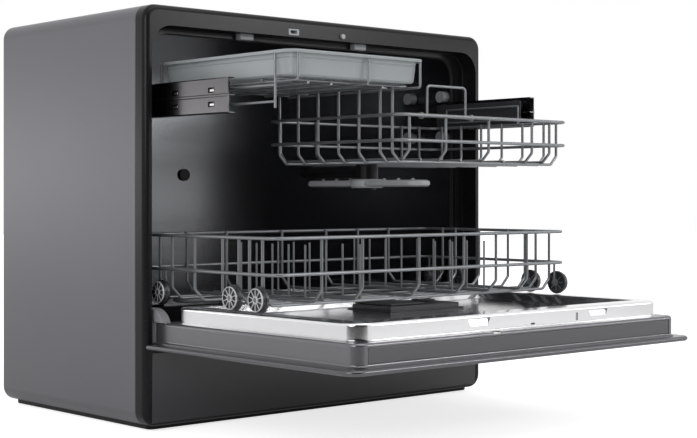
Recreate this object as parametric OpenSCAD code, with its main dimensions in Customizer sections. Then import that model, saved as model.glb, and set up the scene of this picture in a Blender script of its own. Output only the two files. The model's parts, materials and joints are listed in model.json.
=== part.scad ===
// Countertop dishwasher, door open and both racks drawn out.
// +X right, +Y to the back, +Z up; the origin is at the middle of the footprint, on the table.

/* [Casing] */
// Width over the painted casing
case_w = 570; // [540:1:620]
// Height from the table to the top of the casing
case_h = 500; // [490:1:540]
// Depth of the painted casing, from the front seam to the back
case_d = 310; // [306:1:360]
// Outside radius of the casing's long edges
case_r = 18; // [10:1:26]
// Sheet thickness of the casing
shell_t = 1.2; // [0.8:0.1:2]
// Height of the rubber feet
foot_h = 6; // [4:1:12]
// Radius of a rubber foot
foot_r = 17; // [12:1:22]
// Distance from the casing's sides to a foot's centre
foot_inset = 40; // [30:1:60]

/* [Front bezel] */
// Depth of the moulded bezel in front of the casing
bezel_d = 20; // [16:1:26]
// Front width of a bezel column and of the top rail
bezel_w = 10; // [8:1:16]
// Extra height of the top rail
top_rail_extra = 14; // [8:1:18]
// Depth of the rebate that takes the door's frame
rebate_d = 26; // [25:1:32]
// Wall of the inner frame at the bottom of the rebate
frame_t = 3; // [2:0.5:4]
// Corner radius of the bezel's opening
mouth_r = 26; // [12:1:30]
// Height of the plinth panel's top edge
plinth_top = 93; // [80:1:94]
// Thickness of the plinth panel
plinth_t = 3; // [2:0.5:4]

/* [Door] */
// Height of the hinge axis
hinge_z = 116; // [112:1:120]
// Distance of the hinge axis in front of the casing's seam
hinge_out = 8; // [6:1:10]
// Reach of the open door in front of the casing's seam
door_reach = 378; // [360:1:384]
// Height of the outer panel's face under the open door
door_low = 97; // [96:1:98]
// Thickness of the outer panel over its edge lip
door_lip = 6; // [4:1:7]
// Thickness of the outer panel's skin
door_skin = 2.5; // [1.5:0.5:3]
// Thickness of the moulded door frame
door_frame_h = 25; // [20:1:25]
// Width of the moulded door frame's rails
door_rail = 26; // [20:1:34]
// Radius of the door frame's front corners
frame_r = 22; // [10:1:23]
// Radius of the steel liner's corners
liner_r = 16; // [8:1:20]
// Step from the outer panel's edge in to the door frame, at the sides
door_step = 17; // [16:1:20]
// Step from the outer panel's edge in to the door frame, at the front
door_front_step = 13; // [12:1:18]
// Height of the raised steel liner over the door frame
liner_h = 18.5; // [14:0.5:18.5]
// Step from the door frame's side in to the steel liner
liner_step = 12; // [10:1:14]
// Step from the door frame's front in to the steel liner
liner_front_step = 14; // [10:1:20]
// Distance from the seam to the liner's rear wall
liner_start = 40; // [38:1:50]
// Width of the liner's rolled border
liner_border = 21; // [18:1:26]
// Depth of the liner's floor under its border
liner_dip = 12; // [8:1:13]
// Sheet thickness of the liner
liner_t = 1; // [0.8:0.1:1.5]
// Radius of the quarter-round hinge covers
cover_r = 28; // [24:1:30]
// Radius of the hinge pins
hinge_pin_r = 4; // [3:0.5:5]
// Thickness of the control strip on the door's front edge
strip_t = 1; // [0.5:0.5:3]
// Distance from the door frame's left side to the control strip
strip_inset = 38; // [20:1:60]
// Length of the detergent dispenser
dispenser_w = 120; // [100:1:150]
// Depth of the detergent dispenser
dispenser_l = 70; // [60:1:90]

/* [Tub] */
// Side gap between the tub and the casing's outside
tub_gap = 21; // [20:1:30]
// Sheet thickness of the tub
tub_t = 1; // [0.8:0.1:1.5]
// Height of the tub's floor
tub_floor = 122; // [118:1:124]
// Gap between the tub's ceiling and the top of the casing
tub_top_gap = 20; // [14:1:24]
// Gap between the tub's back wall and the back of the casing
tub_back_gap = 10; // [8:1:14]
// Width of the wheel ledges along the tub's sides
ledge_w = 28; // [22:1:32]
// Thickness of the felt wrap round the tub
felt_t = 8; // [4:1:12]
// Thickness of the door seal's lip
seal_t = 5; // [3:1:8]

/* [Lower rack] */
// Distance of the lower rack's front wire from the seam
low_front = 208; // [190:1:214]
// Length of the lower rack, front to back
low_len = 262; // [230:1:266]
// Height of the lower rack's top wire
low_top = 229; // [215:1:240]
// Height of the lower rack's second wire
low_mid = 189; // [182:1:196]
// Height of the lower rack's floor
low_floor = 157; // [156:1:162]
// Height of the plate tines over the floor
tine_h = 62; // [40:1:66]
// Radius of a plate tine
tine_r = 1.25; // [1.1:0.05:1.4]
// Distance between two plate tines
tine_pitch = 30; // [22:1:40]
// Radius of a rack wheel
wheel_r = 15; // [12:0.5:16]
// Width of a rack wheel
wheel_w = 7; // [5:0.5:8]
// Distance between the two wheels of a pair
wheel_pitch = 46; // [36:1:50]
// Distance from the rack's front wire to the first wheel
wheel_front = 19; // [17:1:40]
// Radius of a wheel's axle
axle_r = 3; // [2:0.5:4]

/* [Upper rack] */
// Distance of the upper rack's front wire from the seam
up_front = 213; // [190:1:216]
// Length of the upper rack, front to back
up_len = 244; // [220:1:246]
// Drop from the top of the casing to the upper rack's top wire
up_top_drop = 129; // [128:1:140]
// Distance between the upper rack's two ring wires
up_ring_pitch = 30; // [20:1:36]
// Depth of the upper rack's floor under its top wire
up_depth = 52; // [46:1:56]
// Distance of the upper basket's left wall from the middle
basket_left = 60; // [50:1:70]
// Height of the glass holder over the rack's top wire
holder_h = 36; // [24:1:44]
// Radius of the racks' ring wires
wire_r = 2; // [1.5:0.25:2.5]
// Radius of the racks' thin wires
thin_r = 1.5; // [1.25:0.25:2]
// Side clearance between the liner's edge and the wheels
wheel_side = 1.5; // [1:0.5:3]
// Radius of a rack's corners
rack_r = 16; // [10:1:16]
// Slope of the lower rack's wires from its walls in to its floor
low_foot = 13; // [8:1:15]
// Slope of the upper rack's wires from its walls in to its floor
up_foot = 11; // [8:1:12]

/* [Rails] */
// Distance of the rails' front end from the seam
rail_front = 143; // [120:1:146]
// Length of a rail
rail_len = 250; // [220:1:255]
// Drop from the top of the casing to a rail's lower edge
rail_drop = 132; // [130:1:138]
// Height of a rail's profile
rail_h = 40; // [34:1:44]
// Depth of a rail's profile
rail_d = 9; // [8:0.5:10]
// Sheet thickness of a rail
rail_t = 1.5; // [1:0.25:2]

/* [Cutlery tray] */
// Width of the cutlery tray
tray_w = 206; // [180:1:208]
// Length of the cutlery tray, front to back
tray_l = 250; // [200:1:252]
// Overhang of the tray's rim in front of the rack
tray_over = 22; // [10:1:22]
// Drop from the top of the casing to the tray's rim
tray_drop = 66; // [62:1:70]
// Depth of the tray
tray_h = 28; // [18:1:30]
// Wall of the tray
tray_t = 2.5; // [1.5:0.5:3]
// Width of the tray's rim
tray_rim = 7; // [4:1:9]
// Radius of the tray's corners
tray_r = 14; // [13:1:20]
// Distance from the tray's left side to the rib between its compartments
tray_split = 116; // [90:1:130]

/* [Spray arms] */
// Reach of the lower spray arm
low_arm_r = 118; // [90:1:122]
// Reach of the upper spray arm
up_arm_r = 104; // [80:1:108]
// Width of a spray arm
arm_w = 34; // [26:1:40]
// Thickness of a spray arm
arm_t = 11; // [8:1:12]
// Radius of a spray arm's bearing post
post_r = 8; // [6:1:10]

/* [Works] */
// Radius of the sump
sump_r = 48; // [44:1:52]
// Depth of the sump under the tub's floor
sump_h = 70; // [60:1:74]
// Radius of the filter basket
filter_r = 32; // [26:1:36]
// Radius of the circulation pump's motor
pump_r = 34; // [28:1:36]
// Radius of the water inlet's outside
inlet_r = 13.2; // [12:0.1:14]
// Reach of the water inlet behind the rear panel
inlet_out = 14; // [12:1:14]
// Radius of the drain spigot's outside
drain_r = 9.5; // [8:0.5:11]
// Radius of the salt container's cap
salt_r = 27; // [22:1:30]

/* [Clearances] */
// Clearance all round a moving plate or rack part
gap = 0.5; // [0.3:0.1:1]
// Radial running clearance of a pin in its bore
run = 0.05; // [0.02:0.01:0.1]

/* [Hidden] */
$fn = 32;

steel = [0.72, 0.73, 0.74];
dark = [0.20, 0.20, 0.22];
grey = [0.44, 0.44, 0.46];
coated = [0.36, 0.38, 0.40];

half_w = case_w / 2;
// The seam stands so that the whole object's footprint is centred
seam_y = (door_reach - case_d - inlet_out) / 2;
bezel_y = -bezel_d;
rebate_y = bezel_y + rebate_d;
rebate_x = half_w - bezel_w;
rebate_top = case_h - bezel_w - top_rail_extra;
rebate_low = door_low - 2;
door_top_z = door_low + door_lip;
frame_top = door_top_z + door_frame_h;
liner_top = frame_top + liner_h;
panel_back = bezel_y - 2;
frame_x = half_w - door_step;
frame_front = -door_reach + door_front_step;
liner_x = frame_x - liner_step;
liner_front = frame_front + liner_front_step;
mouth_x = liner_x + 3.5;
mouth_low = liner_top - 3;
mouth_top = rebate_top - 6;
tub_x = half_w - tub_gap;
tub_top = case_h - tub_top_gap;
tub_back = case_d - tub_back_gap;
tub_front = rebate_y + frame_t;
ledge_z = liner_top;
ledge_x = tub_x - ledge_w;
wheel_z = liner_top + gap + wheel_r;
wheel_x = liner_x - wheel_side - wheel_w;
rack_x = wheel_x - wire_r - 1;
up_top = case_h - up_top_drop;
up_mid = up_top - up_ring_pitch;
up_floor = up_top - up_depth;
rail_low = case_h - rail_drop;
tray_z = case_h - tray_drop;
low_y0 = -low_front;
low_y1 = low_y0 + low_len;
up_y0 = -up_front;
up_y1 = up_y0 + up_len;
wheel_ys = [low_y0 + wheel_front, low_y0 + wheel_front + wheel_pitch,
    low_y1 - 12 - wheel_pitch, low_y1 - 12];
rail_x = mouth_x - 1 - gap;
rail_y0 = -rail_front;
arm_y = (tub_front + tub_back) / 2;
arm_z = tub_floor + 11;
sump_x = 92;
sump_y = arm_y + 30;
up_arm_y = (up_y0 + up_y1) / 2;
up_arm_z = up_floor - 22;
tray_x0 = -rack_x;
tray_y0 = up_y0 - tray_over;
lining = 0.4;
panel_in = half_w - shell_t - lining;
rear_y0 = case_d - 4;
tray_floor_z = foot_h + shell_t;
latch_x = -60;
switch_x = 22;
latch_z = rebate_top + 6;
// Places of the connections and screws on the rear panel
inlet_z = 70;
inlet_x = half_w - 95;
drain_x = half_w - 135;
cord_x = -half_w + 85;
screw_x = half_w - 16;
screw_r = 1.6;
screw_zs = [60, case_h / 2, case_h - 40];
seam_gap = 0.05;
neck = 0.8;
// Works under the tub
salt_x = -half_w + 120;
salt_y = tub_front + 62;
salt_low = tub_floor - tub_t - 86;
sump_low = tub_floor - tub_t - sump_h;
pump_z = sump_low + 12;
pump_x = sump_x - sump_r - 74;
feed_r = 9;
feed_z = up_arm_z + feed_r;
roller_r = 8;
roller_ys = [tub_front + tub_t + seal_t + 12, rail_y0 + rail_len - 14];
cover_x = liner_x + 1.5;
// Detergent dispenser in the door
disp_x = 40;
disp_y = -120;
disp_top = liner_top - 5;
rinse_x = disp_x + dispenser_w / 4;
// Thin wires bite a little into the wires that they are welded to
bite = 0.12;
wall_in = wire_r + thin_r - bite;
under = 2 * thin_r - bite;
bend_r = thin_r + 0.1;
low_end = wall_in + low_foot + bend_r - bite / 2;
up_end = wall_in + up_foot + bend_r - bite / 2;
low_fence_xs = concat([for (d = [70.5, 132.5, 223.5]) -rack_x + d],
    [for (d = [188.5, 130.5, 72.5]) rack_x - d]);
low_side_ys = [for (d = [25, 48, 67, 97, 150, 195, 220]) low_y0 + d];
tine_n = floor((low_len - 60) / tine_pitch);
tine_xs = [-150, -92, 63, 121];
up_x = rail_x - rail_d - 4 - wire_r;
up_left = -basket_left;
up_mid_x = (up_x + up_left) / 2;
up_half = (up_x - up_left) / 2;
up_fence_xs = concat([up_left + 18], [for (d = [224, 148, 67, 33]) up_x - d]);
up_floor_xs = concat([up_left + 48], [for (d = [186, 108]) up_x - d]);
up_side_ys = [for (d = [17, 38, 75, 112, 150, 188, 225]) up_y0 + d];
rack_roller_ys = [up_y0 + 96, up_y1 - 12];
holder_x0 = -8;
holder_x1 = 58;
holder_y = up_y0 + 2 * wire_r + 2 * thin_r + gap + 0.5;
post_ys = [up_y0 + 6, tray_y0 + tray_l - 9];
shelf_xs = [for (d = [13.5, 47.5, 81.5, 116.5, 160.5, 198.5]) tray_x0 + d];
shelf_z = tray_z - tray_h - thin_r - 1;
long_z = shelf_z - 2 * thin_r + 0.6;
hook_run = post_ys[0] - thin_r - tray_y0 - tray_rim / 2;

function arc(cx, cy, r, a0, n = 8) =
    [for (i = [0:n]) [cx + r * cos(a0 + 90 * i / n), cy + r * sin(a0 + 90 * i / n)]];
// An opening with round top corners and a flat sill
function arch(x, z0, z1, r) = concat(arc(x - r, z1 - r, r, 0), arc(-x + r, z1 - r, r, 90),
    [[-x, z0], [x, z0]]);
function round_rect(x0, x1, z0, z1, r) = concat(arc(x1 - r, z1 - r, r, 0),
    arc(x0 + r, z1 - r, r, 90), arc(x0 + r, z0 + r, r, 180), arc(x1 - r, z0 + r, r, 270));

module at_seam() {
    translate([0, seam_y, 0]) children();
}

module block(x0, x1, y0, y1, z0, z1) {
    translate([x0, y0, z0]) cube([x1 - x0, y1 - y0, z1 - z0]);
}

// A plan outline with round front corners, and back corners of their own radius
function plan(x, y0, y1, rf, rb) = concat(arc(x - rb, y1 - rb, rb, 0), arc(-x + rb, y1 - rb, rb, 90),
    arc(-x + rf, y0 + rf, rf, 180), arc(x - rf, y0 + rf, rf, 270));

module along_z(z0, z1) {
    translate([0, 0, z0]) linear_extrude(z1 - z0) children();
}

// A flat XZ outline made solid between two depths
module along_y(y0, y1) {
    translate([0, y1, 0]) rotate([90, 0, 0]) linear_extrude(y1 - y0) children();
}

module rod_x(x0, x1, y, z, r) {
    translate([x0, y, z]) rotate([0, 90, 0]) cylinder(h = x1 - x0, r = r);
}

module rod_y(x, y0, y1, z, r) {
    translate([x, y1, z]) rotate([90, 0, 0]) cylinder(h = y1 - y0, r = r);
}

module rod_z(x, y, z0, z1, r) {
    translate([x, y, z0]) cylinder(h = z1 - z0, r = r);
}

module both_sides() {
    children();
    mirror([1, 0, 0]) children();
}

// A closed ring of wire with round corners, lying flat
module ring_wire(x, y0, y1, z, r, bend) {
    both_sides() rod_y(x, y0 + bend, y1 - bend, z, r);
    for (y = [y0, y1]) rod_x(-x + bend, x - bend, y, z, r);
    for (c = [[x - bend, y1 - bend, 0], [-x + bend, y1 - bend, 90],
            [-x + bend, y0 + bend, 180], [x - bend, y0 + bend, 270]])
        translate([c[0], c[1], z]) rotate([0, 0, c[2]])
            rotate_extrude(angle = 90) translate([bend, 0]) circle(r = r);
}

// The upright part of a thin wire: straight down a rack's wall, then down a slope in to its floor
module upright_wire(height, foot) {
    rod_z(0, 0, foot, height, thin_r);
    translate([0, 0, foot]) rotate([0, 135, 0]) cylinder(h = foot * sqrt(2), r = thin_r - 0.1);
    for (u = [0, foot]) translate([u, 0, foot - u]) sphere(r = bend_r);
}

// All the uprights of a rack: those of its front and back walls, then those of its sides, of which
// the left ones may be higher
module uprights(x, y0, y1, top, left_top, floor_z, foot, fence_xs, side_ys) {
    for (fx = fence_xs, e = [[y0 + wall_in, 90], [y1 - wall_in, -90]])
        translate([fx, e[0], floor_z]) rotate([0, 0, e[1]]) upright_wire(top - floor_z, foot);
    for (sy = side_ys, e = [[-x + wall_in, 0, left_top], [x - wall_in, 180, top]])
        translate([e[0], sy, floor_z - under]) rotate([0, 0, e[1]])
            upright_wire(e[2] - floor_z + under, foot);
}

// ---- Casing and front ----

module casing_shell() {
    color(grey) at_seam() along_y(0, case_d) difference() {
        polygon(round_rect(-half_w, half_w, foot_h, case_h, case_r));
        polygon(round_rect(-half_w + shell_t, half_w - shell_t, foot_h + shell_t,
            case_h - shell_t, case_r - shell_t));
    }
    // tabs folded in at the back, that the rear panel is screwed to
    color(grey) at_seam() both_sides() for (z = screw_zs) difference() {
        block(screw_x - 10, half_w - shell_t / 2, rear_y0 - 2, rear_y0, z - 10, z + 10);
        rod_y(screw_x, rear_y0 - 3, rear_y0 + 1, z, screw_r);
    }
}

module front_bezel() {
    color(dark) at_seam() difference() {
        union() {
            along_y(bezel_y, 0)
                polygon(round_rect(-half_w, half_w, foot_h, case_h, case_r));
            along_y(-1, tub_front) polygon(round_rect(-half_w + shell_t + lining,
                half_w - shell_t - lining, foot_h + shell_t + lining,
                case_h - shell_t - lining, case_r - shell_t));
        }
        along_y(bezel_y - 1, rebate_y)
            polygon(arch(rebate_x, rebate_low, rebate_top, frame_r + 6));
        along_y(rebate_y - 1, tub_front + 1)
            polygon(arch(mouth_x, mouth_low, mouth_top, mouth_r));
        // opening behind the plinth panel
        block(-rebate_x + 10, rebate_x - 10, bezel_y - 1, tub_front + 1, foot_h + 12,
            plinth_top - 10);
        block(-rebate_x, rebate_x, bezel_y - 1, bezel_y + plinth_t, foot_h + 4, plinth_top);
        // pockets that the hinge covers swing into
        both_sides() block(mouth_x + 1.5, rebate_x, rebate_y - 1, tub_front + 1,
            hinge_z - 6, hinge_z + cover_r + 5);
        // latch pocket and switch bore in the top rail
        block(latch_x - 9, latch_x + 9, bezel_y - 1, bezel_y + 12, latch_z - 4.5, latch_z + 4.5);
        rod_y(switch_x, bezel_y - 1, bezel_y + 14, latch_z, 3.5 + run);
    }
}

module plinth_panel() {
    color(dark) at_seam() {
        block(-rebate_x + lining, rebate_x - lining, bezel_y, bezel_y + plinth_t,
            foot_h + 4 + lining, plinth_top - lining);
        both_sides() block(rebate_x - 40, rebate_x - 14, bezel_y + plinth_t, bezel_y + plinth_t + 8,
            foot_h + 20, plinth_top - 20);
    }
}

module rear_panel() {
    color(grey) at_seam() difference() {
        along_y(rear_y0, rear_y0 + shell_t) polygon(round_rect(-panel_in, panel_in,
            foot_h + shell_t + lining, case_h - shell_t - lining, case_r - shell_t));
        rod_y(inlet_x, rear_y0 - 1, case_d, inlet_z, inlet_r + gap);
        rod_y(drain_x, rear_y0 - 1, case_d, pump_z, drain_r + gap);
        rod_y(cord_x, rear_y0 - 1, case_d, inlet_z, 9);
        for (x = [-screw_x, screw_x], z = screw_zs) rod_y(x, rear_y0 - 1, case_d, z, screw_r + run);
        for (i = [0:9]) block(-60, 60, rear_y0 - 1, case_d, 30 + 8 * i, 33 + 8 * i);
    }
}

module rear_screws() {
    color(steel) at_seam() for (x = [-screw_x, screw_x], z = screw_zs) {
        rod_y(x, rear_y0 + shell_t, rear_y0 + shell_t + 2.2, z, 3.6);
        rod_y(x, rear_y0 - 4, rear_y0 + shell_t, z, screw_r);
    }
}

module base_tray() {
    color(dark) at_seam() difference() {
        block(-half_w + case_r, half_w - case_r, tub_front + 1, rear_y0 - 1, tray_floor_z,
            tray_floor_z + 14);
        block(-half_w + case_r + 2, half_w - case_r - 2, tub_front + 3, rear_y0 - 3,
            tray_floor_z + 2, tray_floor_z + 15);
    }
}

module feet() {
    color("black") at_seam() for (x = [-half_w + foot_inset, half_w - foot_inset],
            y = [foot_inset / 2, case_d - foot_inset])
        rod_z(x, y, 0, foot_h, foot_r);
}

// ---- Tub and its fittings ----

function tub_outline(g) = [[-tub_x - g, ledge_z - g], [-ledge_x - g, ledge_z - g],
    [-ledge_x - g, tub_floor - g], [ledge_x + g, tub_floor - g], [ledge_x + g, ledge_z - g],
    [tub_x + g, ledge_z - g], [tub_x + g, tub_top + g], [-tub_x - g, tub_top + g]];

module tub() {
    color(steel) at_seam() difference() {
        along_y(tub_front, tub_back + tub_t) polygon(tub_outline(tub_t));
        along_y(tub_front + tub_t, tub_back) polygon(tub_outline(0));
        along_y(tub_front - 1, tub_front + tub_t + 1)
            polygon(arch(mouth_x, mouth_low, mouth_top, mouth_r));
        translate([sump_x, sump_y, tub_floor - 5]) cylinder(h = 10, r = sump_r);
        translate([salt_x, salt_y, tub_floor - 5]) cylinder(h = 10, r = salt_r);
        translate([0, arm_y, tub_floor - 5]) cylinder(h = 10, r = post_r + lining);
        rod_y(0, tub_back - 5, tub_back + 5, feed_z, feed_r);
        // the weld between the base pan and the wrap
        block(-tub_x - 5, tub_x + 5, tub_front - 1, tub_back + 5, ledge_z, ledge_z + seam_gap);
    }
}

module felt_wrap() {
    color([0.25, 0.25, 0.25]) at_seam() difference() {
        block(-tub_x - tub_t - felt_t, tub_x + tub_t + felt_t, tub_front + 10, tub_back - 10,
            ledge_z + 10, tub_top + tub_t + felt_t);
        block(-tub_x - tub_t - lining, tub_x + tub_t + lining, tub_front, tub_back + 1,
            ledge_z, tub_top + tub_t + lining);
    }
}

module door_seal() {
    color("black") at_seam() along_y(tub_front + tub_t, tub_front + tub_t + seal_t) difference() {
        polygon(arch(tub_x - lining, ledge_z + lining, tub_top - lining, mouth_r));
        polygon(arch(mouth_x - 1, ledge_z - 1, mouth_top - 1, mouth_r));
    }
}

module sump() {
    color(dark) at_seam() difference() {
        union() {
            translate([sump_x, sump_y, sump_low]) {
                cylinder(h = sump_h, r = sump_r - lining);
                translate([0, 0, sump_h - 4]) cylinder(h = 4, r = sump_r + 6);
                translate([0, 0, 12]) rotate([0, -90, 0]) cylinder(h = sump_r + 14, r = 11);
                translate([0, 0, 12]) rotate([-90, 0, 0]) cylinder(h = sump_r + 12, r = 8);
            }
            // duct to the lower arm, and the post that the arm turns on
            translate([0, arm_y, tub_floor - tub_t - 14])
                rotate([0, 0, atan2(sump_y - arm_y, sump_x)]) block(-post_r, sump_x, -post_r + 1,
                    post_r - 1, 0, 14 - gap);
            rod_z(0, arm_y, tub_floor - tub_t - 6, tub_floor, post_r - lining);
            rod_z(0, arm_y, tub_floor, arm_z - gap, post_r + 6);
            rod_z(0, arm_y, arm_z - gap - 1, arm_z + arm_t + 2, post_r);
        }
        translate([sump_x, sump_y, sump_low]) {
            translate([0, 0, 3]) cylinder(h = sump_h, r = sump_r - 3);
            translate([0, 0, 12]) rotate([0, -90, 0]) cylinder(h = sump_r + 15, r = 8);
            translate([0, 0, 12]) rotate([-90, 0, 0]) cylinder(h = sump_r + 13, r = 5);
        }
    }
}

module filter_plate() {
    color(steel) at_seam() translate([sump_x, sump_y, tub_floor + lining]) difference() {
        cylinder(h = 1.5, r = sump_r + 12);
        translate([0, 0, -1]) cylinder(h = 4, r = filter_r + 1);
        for (a = [0:20:340]) rotate([0, 0, a]) translate([(filter_r + sump_r) / 2 + 3, 0, -1])
            cylinder(h = 4, r = 3, $fn = 16);
    }
}

module filter_basket() {
    color(grey) at_seam() translate([sump_x, sump_y, tub_floor + lining + 1.5 + gap]) {
        difference() {
            union() {
                cylinder(h = 2, r = filter_r + 4);
                translate([0, 0, -36]) cylinder(h = 36, r = filter_r);
            }
            translate([0, 0, -34]) cylinder(h = 40, r = filter_r - 2);
            for (a = [15:45:330]) rotate([0, 0, a])
                translate([filter_r - 6, -4, -30]) cube([12, 8, 24]);
        }
        translate([-filter_r + 1, -2.5, 0]) cube([2 * filter_r - 2, 5, 5]);
    }
}

// The pump with its flow-through heater in one unit
module circulation_pump() {
    color([0.3, 0.3, 0.32]) at_seam() {
        translate([pump_x - 34, sump_y, pump_z]) rotate([0, 90, 0]) cylinder(h = 62, r = pump_r);
        translate([pump_x + 28, sump_y, pump_z]) rotate([0, 90, 0]) cylinder(h = 24, r = pump_r - 3);
        translate([pump_x + 52, sump_y, pump_z]) rotate([0, 90, 0]) cylinder(h = 8, r = 12);
        rod_y(pump_x + 40, sump_y, sump_y + pump_r + 8, pump_z, feed_r);
        block(pump_x - 24, pump_x + 18, sump_y - 20, sump_y + 20, tray_floor_z + 2, pump_z - 20);
        rod_x(pump_x - 92, pump_x - 33, sump_y, pump_z, 22);
        rod_x(pump_x - 100, pump_x - 91, sump_y, pump_z, 10);
        block(pump_x - 82, pump_x - 46, sump_y - 14, sump_y + 14, tray_floor_z + 2, pump_z - 15);
    }
}

// The drain pump and the spigot for the drain hose
module drain_pump() {
    spigot_y = sump_y + sump_r + 16;
    color([0.32, 0.3, 0.28]) at_seam() {
        rod_y(sump_x, sump_y + sump_r + 12, sump_y + sump_r + 46, pump_z, 19);
        rod_y(sump_x, sump_y + sump_r + 45, sump_y + sump_r + 56, pump_z, 24);
        rod_x(sump_x, drain_x - drain_r + 2.2, spigot_y + 10, pump_z, 6);
        block(sump_x - 12, sump_x + 12, sump_y + sump_r + 16, sump_y + sump_r + 40,
            tray_floor_z + 2, pump_z - 10);
        difference() {
            union() {
                rod_y(drain_x, spigot_y, case_d + 1, pump_z, drain_r - neck);
                rod_y(drain_x, case_d + 1, case_d + inlet_out - 2, pump_z, drain_r);
                rod_y(drain_x, rear_y0 - 8, rear_y0 - 2, pump_z, drain_r + 5);
            }
            rod_y(drain_x, spigot_y + 3, case_d + inlet_out, pump_z, drain_r - 2.5);
        }
    }
}

// The water valve and its threaded spigot in one moulding
module inlet_valve() {
    color("white") at_seam() difference() {
        union() {
            block(inlet_x - 18, inlet_x + 18, rear_y0 - 52, rear_y0 - 8, inlet_z - 18,
                inlet_z + 18);
            rod_z(inlet_x, rear_y0 - 30, inlet_z + 17, inlet_z + 34, 12);
            block(inlet_x - 8, inlet_x + 8, rear_y0 - 40, rear_y0 - 20, tray_floor_z + 2,
                inlet_z - 17);
            rod_y(inlet_x, rear_y0 - 9, case_d + 1, inlet_z, inlet_r - neck);
            rod_y(inlet_x, case_d + 1, case_d + inlet_out, inlet_z, inlet_r);
            rod_y(inlet_x, rear_y0 - 9, rear_y0 - 2, inlet_z, inlet_r + 4);
        }
        rod_y(inlet_x, rear_y0 - 2, case_d + inlet_out + 1, inlet_z, inlet_r - 4);
    }
}

module cord_gland() {
    color("black") at_seam() difference() {
        union() {
            rod_y(cord_x, rear_y0 - 5, rear_y0 + 4, inlet_z, 9 - lining);
            rod_y(cord_x, rear_y0 + 1.2, rear_y0 + 4, inlet_z, 12);
        }
        rod_y(cord_x, rear_y0 - 6, case_d + 1, inlet_z, 4);
    }
}

module salt_container() {
    color([0.85, 0.86, 0.84]) at_seam() translate([salt_x, salt_y, salt_low]) difference() {
        union() {
            cylinder(h = 82, r = 46);
            cylinder(h = 86 + tub_t, r = salt_r - lining);
        }
        translate([0, 0, 3]) cylinder(h = 76, r = 43);
        translate([0, 0, 10]) cylinder(h = 86, r = salt_r - 4);
    }
}

module salt_cap() {
    color([0.2, 0.35, 0.6]) at_seam() translate([salt_x, salt_y, tub_floor + gap]) {
        cylinder(h = 5, r = salt_r + 3);
        translate([0, 0, -6]) cylinder(h = 6, r = salt_r - 4 - gap);
        translate([-salt_r + 4, -3, 5]) cube([2 * salt_r - 8, 6, 4]);
    }
}

module spray_feed_pipe() {
    color(dark) at_seam() {
        rod_y(0, tub_back - 4, tub_back + tub_t + 2, feed_z, feed_r - lining);
        block(-14, 14, tub_back + tub_t + 0.2, rear_y0 - 0.3, pump_z - 12, feed_z + 14);
        rod_y(pump_x + 40, sump_y + pump_r + 8, tub_back + tub_t + 2, pump_z, feed_r);
    }
}

// ---- Hinge brackets, latch and switch on the casing ----

module hinge_brackets() {
    color(steel) at_seam() both_sides() {
        block(rebate_x - 2, rebate_x, bezel_y + 4, rebate_y - 1, hinge_z - 12, hinge_z + 20);
        rod_x(rebate_x - 12, rebate_x - 2, -hinge_out, hinge_z, hinge_pin_r);
    }
}

module latch_catch() {
    color(grey) at_seam() difference() {
        block(latch_x - 9 + lining, latch_x + 9 - lining, bezel_y - 0.6, bezel_y + 11,
            latch_z - 4.5 + lining, latch_z + 4.5 - lining);
        block(latch_x - 5, latch_x + 5, bezel_y - 2, bezel_y + 8, latch_z - 2, latch_z + 2);
    }
}

module door_switch_pin() {
    color(steel) at_seam() rod_y(switch_x, bezel_y - 3, bezel_y + 8, latch_z, 3.5);
}

module rail_rollers() {
    color(grey) at_seam() both_sides() for (y = roller_ys) {
        for (z = [rail_low - roller_r - gap, rail_low + rail_h + roller_r + gap]) {
            rod_x(rail_x - rail_d + 1, tub_x - 1.5, y, z, roller_r);
            rod_x(tub_x - 1.5, tub_x, y, z, 3);
        }
    }
}

// ---- Door ----

module door_panel() {
    color(dark) at_seam() difference() {
        along_z(door_low, door_top_z) polygon(plan(half_w, -door_reach, panel_back, case_r, 1));
        block(-frame_x + 8, frame_x - 8, frame_front + 8, panel_back - 8, door_low + door_skin,
            door_top_z + 1);
    }
}

module door_frame() {
    color(grey) at_seam() difference() {
        along_z(door_top_z, frame_top)
            polygon(plan(frame_x, frame_front, panel_back + 4, frame_r, 1));
        block(-frame_x + door_rail, frame_x - door_rail, frame_front + door_rail,
            panel_back - door_rail + 4, door_top_z - 1, frame_top + 1);
        both_sides() block(cover_x, half_w, -hinge_out - cover_r, 0, door_top_z - 1,
            frame_top + 1);
        block(latch_x - 6, latch_x + 6, frame_front - 1, frame_front + 8, frame_top - 3,
            frame_top + 1);
    }
}

module door_liner() {
    color(steel) at_seam() difference() {
        along_z(frame_top, liner_top)
            polygon(plan(liner_x, liner_front, -liner_start, liner_r, liner_r));
        block(-liner_x + liner_border, liner_x - liner_border, liner_front + liner_border,
            -liner_start - liner_border, liner_top - liner_dip, liner_top + 1);
        block(-liner_x + liner_border, liner_x - liner_border, liner_front + liner_border,
            -liner_start - liner_border, frame_top - 1, liner_top - liner_dip - liner_t);
        difference() {
            along_z(frame_top - 1, liner_top - liner_t) polygon(plan(liner_x - liner_t,
                liner_front + liner_t, -liner_start - liner_t, liner_r - liner_t,
                liner_r - liner_t));
            block(-liner_x + liner_border - liner_t, liner_x - liner_border + liner_t,
                liner_front + liner_border - liner_t, -liner_start - liner_border + liner_t,
                frame_top - 2, liner_top);
        }
        for (x = [-74, 131]) block(x - 17, x + 17, liner_front - 1, liner_front + liner_t + 1,
            liner_top - 11, liner_top - 4);
        block(90, 94, liner_front - 1, liner_front + liner_t + 1, frame_top + 2, frame_top + 11);
        block(disp_x - dispenser_w / 2, disp_x + dispenser_w / 2, disp_y - dispenser_l / 2,
            disp_y + dispenser_l / 2, frame_top - 1, liner_top);
    }
}

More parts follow.
